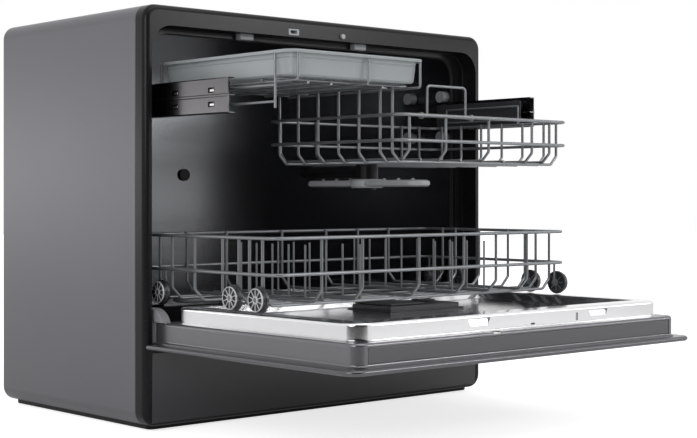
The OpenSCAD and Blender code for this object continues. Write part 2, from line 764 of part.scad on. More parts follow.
module control_strip() {
    color([0.28, 0.28, 0.3]) at_seam() block(-frame_x + strip_inset, frame_x - frame_r,
        frame_front - strip_t, frame_front, door_top_z + 2, frame_top - 2);
}

module control_board() {
    color([0.1, 0.35, 0.15]) at_seam() block(-90, 90, frame_front + door_rail + 2,
        frame_front + door_rail + 60, door_low + door_skin, door_low + door_skin + 12);
}

module hinge_covers() {
    color(grey) at_seam() both_sides() difference() {
        union() {
            intersection() {
                rod_x(cover_x, frame_x + 2, -hinge_out, hinge_z, cover_r);
                block(0, half_w, -hinge_out - cover_r - 1, -hinge_out + 6, hinge_z - 1,
                    hinge_z + cover_r + 1);
            }
            block(cover_x, frame_x + 2, -hinge_out - cover_r, -hinge_out + 6,
                door_top_z, hinge_z);
        }
        rod_x(rebate_x - 13, half_w, -hinge_out, hinge_z, hinge_pin_r + run);
    }
}

module latch_striker() {
    color(steel) at_seam() block(latch_x - 6 + lining, latch_x + 6 - lining, frame_front + lining,
        frame_front + 8 - lining, frame_top - 3, frame_top - 1);
}

module dispenser_body() {
    color(grey) at_seam() difference() {
        union() {
            block(disp_x - dispenser_w / 2 + lining, disp_x + dispenser_w / 2 - lining,
                disp_y - dispenser_l / 2 + lining, disp_y + dispenser_l / 2 - lining,
                door_top_z + 4, disp_top);
            // flange that rests on the liner's floor
            block(disp_x - dispenser_w / 2 - 4, disp_x + dispenser_w / 2 + 4,
                disp_y - dispenser_l / 2 - 4, disp_y + dispenser_l / 2 + 4,
                liner_top - liner_dip, liner_top - liner_dip + 1.5);
        }
        block(disp_x - dispenser_w / 2 + 5, disp_x - 2, disp_y - dispenser_l / 2 + 5,
            disp_y + dispenser_l / 2 - 5, door_top_z + 8, disp_top + 1);
        translate([rinse_x, disp_y, disp_top - 12]) cylinder(h = 13, r = 13);
    }
}

module dispenser_lid() {
    color([0.5, 0.5, 0.52]) at_seam() block(disp_x - dispenser_w / 2 + 2, disp_x + 1,
        disp_y - dispenser_l / 2 + 2, disp_y + dispenser_l / 2 - 2, disp_top + gap,
        disp_top + gap + 2);
}

module rinse_cap() {
    color([0.3, 0.45, 0.7]) at_seam() translate([rinse_x, disp_y, disp_top]) {
        translate([0, 0, gap]) cylinder(h = 2.5, r = 15);
        translate([0, 0, -10]) cylinder(h = 10 + gap, r = 13 - gap);
        translate([-12, -1.5, gap + 2.5]) cube([24, 3, 1.2]);
    }
}

// ---- Lower rack ----

module lower_rack_rim() {
    color(coated) at_seam() for (z = [low_top, low_mid])
        ring_wire(rack_x, low_y0, low_y1, z, wire_r, rack_r);
}

module lower_rack_uprights() {
    color(coated) at_seam() uprights(rack_x, low_y0, low_y1, low_top + 2, low_top + 2, low_floor,
        low_foot, low_fence_xs, low_side_ys);
}

// The long wires of the floor, and the wires that the tines stand on
module lower_rack_floor() {
    color(coated) at_seam() {
        for (x = low_fence_xs) rod_y(x, low_y0 + low_end, low_y1 - low_end, low_floor, thin_r);
        for (x = tine_xs) rod_y(x, low_y0 + 27, low_y1 - 27, low_floor, thin_r);
    }
}

module lower_rack_cross() {
    color(coated) at_seam() for (y = low_side_ys)
        rod_x(-rack_x + low_end, rack_x - low_end, y, low_floor - under, thin_r);
}

module lower_rack_tines() {
    color(coated) at_seam() for (x = tine_xs, i = [0:tine_n])
        rod_z(x, low_y0 + 30 + i * tine_pitch, low_floor + thin_r - bite / 2, low_floor + tine_h,
            tine_r);
}

// A bent wire from the second ring down to each wheel, and the axle welded to it
module wheel_axles() {
    color([0.25, 0.25, 0.27]) at_seam() both_sides() for (y = wheel_ys) {
        rod_z(rack_x, y, wheel_z, low_mid - wire_r + bite, thin_r);
        rod_x(rack_x + thin_r - 1, wheel_x - gap, y, wheel_z, axle_r + 2.5);
        rod_x(rack_x - 1, wheel_x + wheel_w + gap, y, wheel_z, axle_r);
        rod_x(wheel_x + wheel_w + gap, wheel_x + wheel_w + gap + 1, y, wheel_z, axle_r + 1.5);
    }
}

module wheel(side, i) {
    color([0.3, 0.3, 0.32]) at_seam() translate([side * (wheel_x + wheel_w / 2), wheel_ys[i],
            wheel_z]) rotate([0, 90, 0]) difference() {
        cylinder(h = wheel_w, r = wheel_r, center = true);
        cylinder(h = wheel_w + 2, r = axle_r + run, center = true);
        for (a = [22.5:45:360]) rotate([0, 0, a]) translate([(wheel_r + axle_r) / 2, 0, 0])
            cylinder(h = wheel_w + 2, r = (wheel_r - axle_r) / 5, center = true, $fn = 16);
    }
}

// ---- Spray arms ----

module spray_arm(reach, r_bore) {
    difference() {
        union() {
            cylinder(h = arm_t, r = arm_w / 2 + 4);
            translate([-reach + arm_w / 2, -arm_w / 2, 1.5])
                cube([2 * reach - arm_w, arm_w, arm_t - 3]);
            for (s = [-1, 1]) translate([s * (reach - arm_w / 2), 0, 1.5])
                cylinder(h = arm_t - 3, r = arm_w / 2);
        }
        translate([0, 0, -1]) cylinder(h = arm_t + 2, r = r_bore + run);
        for (s = [-1, 1], i = [1:4]) translate([s * (arm_w / 2 + 8 + i * (reach - arm_w) / 5.5),
                s * (i % 2 == 0 ? 6 : -6), arm_t - 5]) cylinder(h = 5, r = 1.6, $fn = 16);
    }
}

module lower_spray_arm() {
    color([0.6, 0.61, 0.62]) at_seam() translate([0, arm_y, arm_z]) spray_arm(low_arm_r, post_r);
}

module upper_spray_arm() {
    color([0.6, 0.61, 0.62]) at_seam() translate([0, up_arm_y, up_arm_z - arm_t - gap])
        rotate([0, 0, 90]) spray_arm(up_arm_r, post_r);
}

module upper_arm_mount() {
    color(dark) at_seam() {
        translate([0, up_arm_y, 0]) {
            rod_z(0, 0, up_arm_z, up_floor - under - thin_r + bite, post_r + 6);
            rod_z(0, 0, up_arm_z - arm_t - 2 * gap, up_arm_z, post_r);
            rod_z(0, 0, up_arm_z - arm_t - 2 * gap - 2, up_arm_z - arm_t - 2 * gap, post_r + 3);
        }
        rod_y(0, up_arm_y, up_y1, feed_z, feed_r - 1);
    }
}

// ---- Upper rack, its rollers and the rails ----

module upper_rack_rim() {
    color(coated) at_seam() {
        for (z = [up_top, up_mid]) translate([up_mid_x, 0, 0])
            ring_wire(up_half, up_y0, up_y1, z, wire_r, rack_r);
        // side wires and posts, by which the rack hangs on its rollers
        for (z = [rail_low + 10, rail_low + 28]) both_sides()
            rod_y(up_x, post_ys[0], post_ys[1], z, thin_r);
        for (y = post_ys) {
            rod_z(up_x, y, up_top, rail_low + 28, thin_r);
            rod_z(-up_x, y, up_top, tray_z - tray_t, thin_r);
            rod_x(-up_x, shelf_xs[5], y, shelf_z, thin_r);
        }
        // the wire shelf under the cutlery tray, which joins the left posts to the basket
        for (y = [up_side_ys[1] + under, up_side_ys[5] - under])
            rod_x(shelf_xs[0] - 3, shelf_xs[5] + 2, y, shelf_z, thin_r);
        for (x = shelf_xs) rod_y(x, post_ys[0] - thin_r, post_ys[1] + thin_r, long_z, thin_r);
        // hooks in front of the tray
        for (i = [0, 3, 5]) translate([shelf_xs[i], tray_y0 + tray_rim / 2, long_z]) {
            rod_y(0, 0, hook_run, 0, thin_r);
            rod_z(0, 0, 0, tray_z - tray_t - long_z, thin_r - 0.1);
            sphere(r = bend_r);
        }
        // eyes for the glass holder's pivot
        for (x = [holder_x0 - 7, holder_x1 + 4]) difference() {
            block(x, x + 3, up_y0, holder_y + wire_r + 1.5, up_top - 3.5, up_top + 3.5);
            rod_x(x - 1, x + 4, holder_y, up_top, wire_r + run);
        }
    }
}

// The basket's uprights: those of its left wall go on up to the tray's shelf
module upper_rack_uprights() {
    color(coated) at_seam() translate([up_mid_x, 0, 0]) uprights(up_half, up_y0, up_y1,
        up_top + 2, shelf_z + thin_r, up_floor, up_foot, [for (x = up_fence_xs) x - up_mid_x],
        up_side_ys);
}

module upper_rack_floor() {
    color(coated) at_seam() for (x = concat(up_fence_xs, up_floor_xs))
        rod_y(x, up_y0 + up_end, up_y1 - up_end, up_floor, thin_r);
}

module upper_rack_cross() {
    color(coated) at_seam() for (y = up_side_ys)
        rod_x(up_left + up_end, up_x - up_end, y, up_floor - under, thin_r);
}

module rack_rollers() {
    color(grey) at_seam() both_sides() {
        block(up_x + thin_r, up_x + wire_r + 2, rack_roller_ys[0] - 12, rack_roller_ys[1] + 8,
            up_top + wire_r + 0.2, rail_low + rail_h - 4);
        for (y = rack_roller_ys, z = [rail_low + rail_h / 4, rail_low + rail_h * 3 / 4])
            rod_x(up_x + wire_r + 2, rail_x - rail_t - gap, y, z,
                rail_h / 4 - rail_t / 2 - rail_t - gap);
    }
}

module rail_profile() {
    difference() {
        translate([0, 0]) square([rail_d, rail_h]);
        for (z = [rail_t, rail_h / 2 + rail_t / 2])
            translate([-1, z]) square([rail_d - rail_t + 1, rail_h / 2 - rail_t * 1.5]);
    }
}

module rail() {
    at_seam() difference() {
        translate([rail_x - rail_d, 0, rail_low]) along_y(rail_y0, rail_y0 + rail_len)
            rail_profile();
        for (y = [rail_y0 + 44, rail_y0 + 116, rail_y0 + 188], z = [0.28, 0.72])
            block(rail_x - rail_t - 0.5, rail_x + 1, y - 9, y + 9,
                rail_low + rail_h * z - 3.5, rail_low + rail_h * z + 3.5);
    }
}

module rail_left() {
    color([0.55, 0.54, 0.54]) mirror([1, 0, 0]) rail();
}

module rail_right() {
    color([0.55, 0.54, 0.54]) rail();
}

module glass_holder() {
    color(coated) at_seam() {
        for (x = [holder_x0, holder_x1]) rod_z(x, holder_y, up_top, up_top + holder_h, thin_r);
        rod_x(holder_x0 - thin_r, holder_x1 + thin_r, holder_y, up_top + holder_h, thin_r);
        rod_x(holder_x0 - 8, holder_x1 + 8, holder_y, up_top, wire_r);
    }
}

// ---- Cutlery tray ----

module cutlery_tray() {
    well_low = tray_z - tray_h + tray_t;
    color([0.6, 0.61, 0.62]) at_seam() difference() {
        union() {
            along_z(tray_z - tray_h, tray_z) polygon(round_rect(tray_x0 + tray_rim,
                tray_x0 + tray_w - tray_rim, tray_y0 + tray_rim, tray_y0 + tray_l - tray_rim,
                tray_r - tray_rim));
            along_z(tray_z - tray_t, tray_z) polygon(round_rect(tray_x0, tray_x0 + tray_w, tray_y0,
                tray_y0 + tray_l, tray_r));
        }
        for (x = [[tray_x0 + tray_rim + tray_t, tray_x0 + tray_split - tray_t / 2],
                [tray_x0 + tray_split + tray_t / 2, tray_x0 + tray_w - tray_rim - tray_t]])
            along_z(well_low, tray_z + 1) polygon(round_rect(x[0], x[1],
                tray_y0 + tray_rim + tray_t, tray_y0 + tray_l - tray_rim - tray_t,
                tray_r - tray_rim - tray_t));
    }
}

module wheel_l1() { wheel(-1, 0); }
module wheel_l2() { wheel(-1, 1); }
module wheel_l3() { wheel(-1, 2); }
module wheel_l4() { wheel(-1, 3); }
module wheel_r1() { wheel(1, 0); }
module wheel_r2() { wheel(1, 1); }
module wheel_r3() { wheel(1, 2); }
module wheel_r4() { wheel(1, 3); }

casing_shell();
front_bezel();
plinth_panel();
rear_panel();
base_tray();
feet();
tub();
felt_wrap();
door_seal();
sump();
filter_plate();
filter_basket();
circulation_pump();
drain_pump();
inlet_valve();
cord_gland();
salt_container();
salt_cap();
spray_feed_pipe();
rail_rollers();
hinge_brackets();
latch_catch();
door_switch_pin();
rear_screws();
door_panel();
door_frame();
door_liner();
control_strip();
control_board();
hinge_covers();
latch_striker();
dispenser_body();
dispenser_lid();
rinse_cap();
lower_rack_rim();
lower_rack_uprights();
lower_rack_floor();
lower_rack_cross();
lower_rack_tines();
wheel_axles();
wheel_l1();
wheel_l2();
wheel_l3();
wheel_l4();
wheel_r1();
wheel_r2();
wheel_r3();
wheel_r4();
lower_spray_arm();
upper_rack_rim();
upper_rack_uprights();
upper_rack_floor();
upper_rack_cross();
rack_rollers();
glass_holder();
upper_arm_mount();
upper_spray_arm();
rail_left();
rail_right();
cutlery_tray();
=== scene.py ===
import json
import math

import bmesh
import bpy
from mathutils import Matrix, Vector

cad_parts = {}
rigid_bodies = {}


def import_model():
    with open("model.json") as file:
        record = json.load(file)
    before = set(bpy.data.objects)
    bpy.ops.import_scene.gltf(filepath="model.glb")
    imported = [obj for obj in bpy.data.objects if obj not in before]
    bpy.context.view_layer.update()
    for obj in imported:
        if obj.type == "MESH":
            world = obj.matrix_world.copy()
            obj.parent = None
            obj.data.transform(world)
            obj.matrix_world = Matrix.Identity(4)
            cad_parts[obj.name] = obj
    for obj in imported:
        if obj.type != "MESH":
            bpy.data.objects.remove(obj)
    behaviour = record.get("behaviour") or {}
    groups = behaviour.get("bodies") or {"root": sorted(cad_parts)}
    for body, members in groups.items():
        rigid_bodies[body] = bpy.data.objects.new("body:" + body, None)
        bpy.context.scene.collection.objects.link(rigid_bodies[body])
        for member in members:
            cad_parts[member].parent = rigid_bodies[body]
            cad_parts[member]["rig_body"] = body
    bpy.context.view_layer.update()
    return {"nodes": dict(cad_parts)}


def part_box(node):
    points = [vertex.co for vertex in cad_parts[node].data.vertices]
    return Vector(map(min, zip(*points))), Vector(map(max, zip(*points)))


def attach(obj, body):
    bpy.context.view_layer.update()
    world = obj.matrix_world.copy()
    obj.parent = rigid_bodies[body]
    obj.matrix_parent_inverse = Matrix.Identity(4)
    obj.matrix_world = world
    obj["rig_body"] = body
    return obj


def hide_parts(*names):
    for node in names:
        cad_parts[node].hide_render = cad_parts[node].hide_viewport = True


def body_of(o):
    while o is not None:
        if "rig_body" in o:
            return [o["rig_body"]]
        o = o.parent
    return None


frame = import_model()
nodes = frame["nodes"]
mm = 0.001


# ---- Casing ----
# One sheet of steel, rolled round its four long corners and lacquered a warm dark grey. Its front
# edge is hemmed inwards, so that a fine joint shows between it and the bezel.

def fill(node, **values):
    """Sets a node's inputs by name: to_min stands for the one that is called To Min."""
    for name, value in values.items():
        node.inputs[name.replace("_", " ").title()].default_value = value


def finish(name, colour, rough, metal=0.0, speck=700, grain=0.03, cloud=0.05, stretch=(1, 1, 1),
           coat=0.0, sheen=0.0, shine=0.5):
    """Paint, plastic or bare metal: a fine grain in its relief and gloss, a cloud in its colour."""
    material = bpy.data.materials.new(name)
    material.use_nodes = True
    tree = material.node_tree
    link = tree.links.new
    shader = tree.nodes["Principled BSDF"]
    fill(shader, metallic=metal, coat_weight=coat, sheen_weight=sheen)
    shader.inputs["Specular IOR Level"].default_value = shine
    place = tree.nodes.new("ShaderNodeTexCoord")
    mapping = tree.nodes.new("ShaderNodeMapping")
    fill(mapping, scale=stretch)
    link(place.outputs["Object"], mapping.inputs["Vector"])
    fine = tree.nodes.new("ShaderNodeTexNoise")
    fill(fine, scale=speck, detail=3)
    clouds = tree.nodes.new("ShaderNodeTexNoise")
    fill(clouds, scale=9, detail=2)
    for noise in (fine, clouds):
        link(mapping.outputs["Vector"], noise.inputs["Vector"])
    relief = tree.nodes.new("ShaderNodeBump")
    fill(relief, strength=grain, distance=mm)
    link(fine.outputs["Fac"], relief.inputs["Height"])
    link(relief.outputs["Normal"], shader.inputs["Normal"])
    gloss = tree.nodes.new("ShaderNodeMapRange")
    wear = 0.12
    fill(gloss, to_min=rough * (1 - wear), to_max=rough * (1 + wear))
    link(fine.outputs["Fac"], gloss.inputs["Value"])
    link(gloss.outputs["Result"], shader.inputs["Roughness"])
    tint = tree.nodes.new("ShaderNodeMix")
    tint.data_type = "RGBA"
    tint.inputs["A"].default_value = [c * (1 - cloud) for c in colour] + [1]
    tint.inputs["B"].default_value = [min(1, c * (1 + cloud)) for c in colour] + [1]
    link(clouds.outputs["Fac"], tint.inputs["Factor"])
    link(tint.outputs["Result"], shader.inputs["Base Color"])
    return material


def corner_round(x0, x1, low, high, radii, steps=8):
    """The points round a rectangle with these corner radii, from its top right corner on."""
    points = []
    corners = ((x1, high, -1, -1), (x0, high, 1, -1), (x0, low, 1, 1), (x1, low, -1, 1))
    for turn, ((x, z, right, up), r) in enumerate(zip(corners, radii)):
        for i in range(steps + 1):
            a = math.radians(90 * (turn + i / steps))
            points.append((x + right * r + r * math.cos(a), z + up * r + r * math.sin(a)))
    return points


def inset(shape, step):
    """The same rounded rectangle drawn in by a step."""
    x0, x1, low, high, radii = shape
    return x0 + step, x1 - step, low + step, high - step, [max(r - step, 0.2 * mm) for r in radii]


def upright_ring(shape, y, step=0.0):
    """The points round an upright shape, which faces the front."""
    return [(x, y, z) for x, z in corner_round(*inset(shape, step))]


def put(name, data):
    """A new object in the scene, at the origin."""
    thing = bpy.data.objects.new(name, data)
    bpy.context.scene.collection.objects.link(thing)
    return thing


def mesh_of(shell, name):
    """The plain mesh of a shell that was built up face by face."""
    mesh = bpy.data.meshes.new(name)
    shell.to_mesh(mesh)
    shell.free()
    return mesh


def bake(piece):
    """Makes what a piece's modifiers show its own mesh."""
    evaluated = piece.evaluated_get(bpy.context.evaluated_depsgraph_get())
    baked = bpy.data.meshes.new_from_object(evaluated)
    piece.modifiers.clear()
    piece.data = baked


def skin(name, rings, loop=False):
    """A closed shell over rings of points, each with as many points as the next."""
    shell = bmesh.new()
    rows = [[shell.verts.new(p) for p in ring] for ring in rings]
    if loop:
        rows.append(rows[0])
    for row, after in zip(rows, rows[1:]):
        for i in range(len(row)):
            j = (i + 1) % len(row)
            shell.faces.new((row[i], row[j], after[j], after[i]))
    if not loop:
        shell.faces.new(rows[0])
        shell.faces.new(rows[-1])
    bmesh.ops.remove_doubles(shell, verts=shell.verts, dist=0.01 * mm)
    bmesh.ops.recalc_face_normals(shell, faces=shell.faces)
    return put(name, mesh_of(shell, name))


def settle(piece, body, slot, material, *replaced, sharp=40):
    """Shades a piece, with edges of more than sharp degrees kept crisp, and gives it its body."""
    evener = piece.modifiers.new("even_normals", "WEIGHTED_NORMAL")
    evener.keep_sharp = True
    for face in piece.data.polygons:
        face.use_smooth = True
    piece.data.set_sharp_from_angle(angle=math.radians(sharp))
    bake(piece)
    piece.data.materials.clear()
    piece.data.materials.append(material)
    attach(piece, body)
    if replaced:
        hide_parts(*replaced)
    return piece


case_low, case_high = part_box("casing_shell")
seam = case_low.y
half = case_high.x
case_r = 18 * mm
hem = 0.9 * mm
sheet = 1.2 * mm
case_shape = (-half, half, case_low.z, case_high.z, [case_r] * 4)
lacquer = finish("casing_lacquer", (0.120, 0.117, 0.129), 0.38, metal=0.45, speck=1400, grain=0.02,
                 cloud=0.03)
hem_angles = [math.radians(a) for a in (90, 67, 45, 22, 0)]
rings = [upright_ring(case_shape, seam + hem * (1 - math.sin(a)), hem * (1 - math.cos(a)))
         for a in hem_angles]
rings += [upright_ring(case_shape, case_high.y - hem), upright_ring(case_shape, case_high.y, hem),
          upright_ring(case_shape, case_high.y, sheet),
          upright_ring(case_shape, seam + sheet, sheet), upright_ring(case_shape, seam, sheet)]
casing = skin("casing_sheet", rings, loop=True)
settle(casing, "cabinet", "casing", lacquer, "casing_shell")


# ---- Front bezel and plinth ----
# One deep moulding in dark plastic, its colour darkened to near-black by painted shade: a fine
# chamfer at the joint, a full round to the front, a small round into the rebate for the door, and
# the mouth of the tub. The plinth panel clips in.

def quarter(r, a0, a1, steps=5):
    """Steps along part of a round edge of radius r: (across, along) from the round's centre."""
    angles = [math.radians(a0 + (a1 - a0) * i / steps) for i in range(steps + 1)]
    return [(r * math.cos(a), r * math.sin(a)) for a in angles]


def box_shape(low, high, grow=0.0):
    """A plain block between two corners, for cutting."""
    shell = bmesh.new()
    bmesh.ops.create_cube(shell, size=1)
    size = [b - a + 2 * grow for a, b in zip(low, high)]
    middle = [(a + b) / 2 for a, b in zip(low, high)]
    bmesh.ops.scale(shell, vec=size, verts=shell.verts)
    bmesh.ops.translate(shell, vec=middle, verts=shell.verts)
    return mesh_of(shell, "cutter")


def cut(piece, *meshes):
    """Takes closed meshes out of a piece."""
    for mesh in meshes:
        tool = put("cutter", mesh)
        knife = piece.modifiers.new("cut", "BOOLEAN")
        knife.operation = "DIFFERENCE"
        knife.solver = "EXACT"
        knife.object = tool
        bake(piece)
        bpy.data.objects.remove(tool)


def soften(node, name, slot, material, width=0.6 * mm, segments=2, trims=()):
    """A CAD node's shape with its loose triangles joined up and its sharp edges rounded off."""
    shell = bmesh.new()
    shell.from_mesh(nodes[node].data)
    bmesh.ops.remove_doubles(shell, verts=shell.verts, dist=0.005 * mm)
    bmesh.ops.dissolve_limit(shell, angle_limit=math.radians(0.5), verts=shell.verts,
                             edges=shell.edges)
    piece = put(name, mesh_of(shell, name))
    cut(piece, *trims)
    rounder = piece.modifiers.new("rounded", "BEVEL")
    rounder.width = width
    rounder.segments = segments
    rounder.limit_method = "ANGLE"
    rounder.angle_limit = math.radians(50)
    rounder.use_clamp_overlap = True
    return settle(piece, body_of(nodes[node])[0], slot, material, node)


bezel_low, bezel_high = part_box("front_bezel")
plinth_low, plinth_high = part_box("plinth_panel")
latch_low, latch_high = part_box("latch_catch")
front_round = 7 * mm
edge_round = 2 * mm
seat_round = 1.2 * mm
joint_step = 0.1 * mm
top_rail = 24 * mm
bottom_rail = 2.4 * mm
ledge = 6 * mm
seat_wall = 3 * mm
square_corner = 1 * mm
rebate_radii = [28 * mm] * 2 + [square_corner] * 2
mouth_radii = [26 * mm] * 2 + [square_corner] * 2
front = bezel_low.y
rebate_back = bezel_high.y - seat_wall
rebate_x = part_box("hinge_brackets")[1].x
rebate_low = plinth_high.z + bottom_rail
rebate_top = case_high.z - top_rail
rebate_shape = (-rebate_x, rebate_x, rebate_low, rebate_top, rebate_radii)
mouth_x = 259.5 * mm
mouth_top = rebate_top - ledge
mouth_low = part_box("door_liner")[1].z - 3 * mm
mouth_shape = (-mouth_x, mouth_x, mouth_low, mouth_top, mouth_radii)
# Near-black: the dark plastic's own colour with painted shade added on top. The base tray, skirt,
# sump, pipes and arm mount share it.
black_plastic_and_painted_shade = finish("bezel_plastic", (0.008, 0.008, 0.009), 0.28, speck=900, cloud=0.04,
                     shine=0.16)
rings = [upright_ring(case_shape, bezel_high.y, 2 * sheet),
         upright_ring(case_shape, seam, 2 * sheet),
         upright_ring(case_shape, seam - joint_step, hem), upright_ring(case_shape, seam - hem, 0)]
rings += [upright_ring(case_shape, front + front_round - along, front_round - across)
          for across, along in quarter(front_round, 0, 90, 7)]
rings += [upright_ring(rebate_shape, front + edge_round - along, across - edge_round)
          for across, along in [(edge_round - a, b) for a, b in quarter(edge_round, 90, 0)]]
rings += [upright_ring(rebate_shape, rebate_back - seat_round + along, seat_round - across)
          for across, along in quarter(seat_round, 0, 90, 3)]
rings += [upright_ring(mouth_shape, rebate_back + edge_round - along, across - edge_round)
          for across, along in [(edge_round - a, b) for a, b in quarter(edge_round, 90, 0, 3)]]
rings += [upright_ring(mouth_shape, bezel_high.y)]
bezel = skin("bezel_moulding", rings, loop=True)
plinth_gap = 0.3 * mm
latch_gap = 0.4 * mm
recess_depth = 12 * mm
recess_low = (plinth_low.x - plinth_gap, front - 1 * mm, plinth_low.z - plinth_gap)
recess_high = (plinth_high.x + plinth_gap, front + recess_depth, plinth_high.z + plinth_gap)
cut(bezel, box_shape(recess_low, recess_high), box_shape(latch_low, latch_high, latch_gap))
settle(bezel, "cabinet", "dark_plastic", black_plastic_and_painted_shade, "front_bezel", sharp=34)
plinth_plastic = finish("plinth_plastic", (0.034, 0.034, 0.038), 0.26, speck=900, cloud=0.04)
soften("plinth_panel", "plinth_cover", "dark_plastic", plinth_plastic, 0.5 * mm)


# ---- Back, base and feet ----
# A galvanised back panel with pressed louvres, screwed to tabs folded from the casing, over a
# moulded base tray. Four rubber feet carry the machine, with a dark skirt round them.

def dress(material, *names):
    """Gives CAD nodes a finish of their own."""
    for name in names:
        nodes[name].data.materials.clear()
        nodes[name].data.materials.append(material)


def level_ring(shape, z, step=0.0):
    """The points round a shape that lies flat."""
    return [(x, y, z) for x, y in corner_round(*inset(shape, step))]


galvanised = finish("galvanised_sheet", (0.50, 0.51, 0.52), 0.38, metal=0.9, speck=160, grain=0.05,
                    cloud=0.12)
zinc = finish("zinc_plate", (0.55, 0.55, 0.54), 0.32, metal=0.95, speck=600, grain=0.05)
rubber = finish("black_rubber", (0.022, 0.022, 0.022), 0.75, speck=500, grain=0.10, cloud=0.1)
dress(galvanised, "rear_panel")
dress(black_plastic_and_painted_shade, "base_tray")
soften("feet", "rubber_feet", "rubber", rubber, 1.5 * mm, 3)
skirt_inset = 15 * mm
skirt_wall = 3 * mm
skirt_foot = 1.2 * mm
skirt_chamfer = 0.6 * mm
skirt_top = case_low.z + 0.6 * mm
skirt_shape = (-half + skirt_inset, half - skirt_inset, seam - 8 * mm, case_high.y - 6 * mm,
               [8 * mm] * 4)
base_skirt = skin("base_skirt", [level_ring(skirt_shape, skirt_foot, skirt_chamfer),
                                 level_ring(skirt_shape, skirt_foot + skirt_chamfer),
                                 level_ring(skirt_shape, skirt_top),
                                 level_ring(skirt_shape, skirt_top, skirt_wall),
                                 level_ring(skirt_shape, skirt_foot, skirt_wall)], loop=True)
settle(base_skirt, "cabinet", "dark_plastic", black_plastic_and_painted_shade)


def tree_with(name, inputs):
    """A tree with these named inputs, which so far holds only its end: Realize, Set Material."""
    tree = bpy.data.node_groups.new(name, "GeometryNodeTree")
    new_socket = tree.interface.new_socket
    new_socket("Geometry", in_out="INPUT", socket_type="NodeSocketGeometry")
    for label, kind, value in inputs:
        new_socket(label, in_out="INPUT", socket_type=kind).default_value = value
    new_socket("Finish", in_out="INPUT", socket_type="NodeSocketMaterial")
    new_socket("Geometry", in_out="OUTPUT", socket_type="NodeSocketGeometry")
    given = tree.nodes.new("NodeGroupInput")
    real = tree.nodes.new("GeometryNodeRealizeInstances")
    painted = tree.nodes.new("GeometryNodeSetMaterial")
    out = tree.nodes.new("NodeGroupOutput")
    tree.links.new(real.outputs[0], painted.inputs["Geometry"])
    tree.links.new(given.outputs["Finish"], painted.inputs["Material"])
    tree.links.new(painted.outputs[0], out.inputs[0])
    return tree, given, real


def grow(name, mesh, tree, material, **values):
    """Runs a geometry tree on a mesh and keeps the result as a plain mesh."""
    piece = put(name, mesh)
    maker = piece.modifiers.new("maker", "NODES")
    maker.node_group = tree
    labels = {"finish": material, **values}
    for socket in tree.interface.items_tree:
        key = socket.name.lower().replace(" ", "_")
        if socket.in_out == "INPUT" and key in labels:
            maker[socket.identifier] = labels[key]
    bake(piece)
    return piece


def plain_mesh(name, points, edges=(), faces=()):
    """A mesh of these points, and of edges or faces between them."""
    mesh = bpy.data.meshes.new(name)
    mesh.from_pydata(points, edges, faces)
    return mesh


def worked(tree, operation, a, b):
    """A Math node on two values, of which each is a socket or a number."""
    node = tree.nodes.new("ShaderNodeMath")
    node.operation = operation
    for slot, value in zip(node.inputs, (a, b)):
        if isinstance(value, float):
            slot.default_value = value
        else:
            tree.links.new(value, slot)
    return node.outputs[0]


def stud_tree():
    """A low round head on each point of a mesh, standing on its flat side along +Y."""
    tree, given, real = tree_with("round_heads", [("Radius", "NodeSocketFloat", 3 * mm),
                                                  ("Height", "NodeSocketFloat", 2 * mm)])
    link = tree.links.new
    dome = tree.nodes.new("GeometryNodeMeshUVSphere")
    fill(dome, segments=20, rings=10)
    link(given.outputs["Radius"], dome.inputs["Radius"])
    flatten = tree.nodes.new("ShaderNodeCombineXYZ")
    fill(flatten, x=1, z=1)
    height_share = worked(tree, "DIVIDE", given.outputs["Height"], given.outputs["Radius"])
    link(height_share, flatten.inputs["Y"])
    seat = tree.nodes.new("GeometryNodeInstanceOnPoints")
    link(given.outputs["Geometry"], seat.inputs["Points"])
    link(dome.outputs["Mesh"], seat.inputs["Instance"])
    link(flatten.outputs[0], seat.inputs["Scale"])
    link(seat.outputs[0], real.inputs[0])
    return tree


round_heads = stud_tree()
screw_low, screw_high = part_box("rear_screws")
head_r = 3.6 * mm
head_height = 2.0 * mm
screw_xs = (screw_low.x + head_r, screw_high.x - head_r)
screw_zs = (screw_low.z + head_r, case_high.z / 2, screw_high.z - head_r)
screw_places = [(x, screw_high.y - head_height, z) for x in screw_xs for z in screw_zs]
heads = grow("screw_heads", plain_mesh("screw_places", screw_places), round_heads, zinc,
             radius=head_r, height=head_height)
settle(heads, "cabinet", "zinc", zinc, "rear_screws")


# ---- Tub and what is fixed in it ----
# A stainless tub with a felt wrap, a rubber lip behind the mouth, a filter over the sump,
# and the salt container and the lower arm's bearing post in its floor. The tub's bright steel, and
# the filter plate's, is painted dark here: painted shade for the inside of the tub.

# Painted shade: this steel is far darker than the liner's bright steel, to stand for the shade
# inside the tub.
tub_steel_painted_shade = finish("tub_stainless", (0.18, 0.184, 0.192), 0.20, metal=1.0, speck=260, grain=0.02,
                   cloud=0.03, stretch=(1, 1, 14))
felt = finish("bitumen_felt", (0.03, 0.03, 0.03), 0.95, speck=300, grain=0.6, cloud=0.2, sheen=0.3)
dress(tub_steel_painted_shade, "tub", "filter_plate")
dress(felt, "felt_wrap")
dress(rubber, "door_seal", "cord_gland")
light_plastic = finish("light_grey_plastic", (0.30, 0.31, 0.32), 0.38, speck=800)
white_plastic = finish("white_plastic", (0.66, 0.67, 0.66), 0.36, speck=800)
blue_plastic = finish("blue_plastic", (0.03, 0.10, 0.30), 0.34, speck=800)
dress(black_plastic_and_painted_shade, "sump", "spray_feed_pipe", "drain_pump")
dress(white_plastic, "inlet_valve", "salt_container")
pump_paint = finish("pump_paint", (0.06, 0.06, 0.07), 0.40, metal=0.3, speck=500, grain=0.08)
dress(pump_paint, "circulation_pump")
soften("filter_basket", "filter_cup", "grey_plastic", light_plastic, 0.5 * mm)
soften("salt_cap", "salt_lid", "blue_cap", blue_plastic, 0.7 * mm)
dress(light_plastic, "rail_rollers")


# ---- Latch and switch in the top rail ----
# A light plastic catch in a square pocket, the sprung pin that tells the machine that the door is
# closed, and two clips that hold the tub's top edge under the rail.

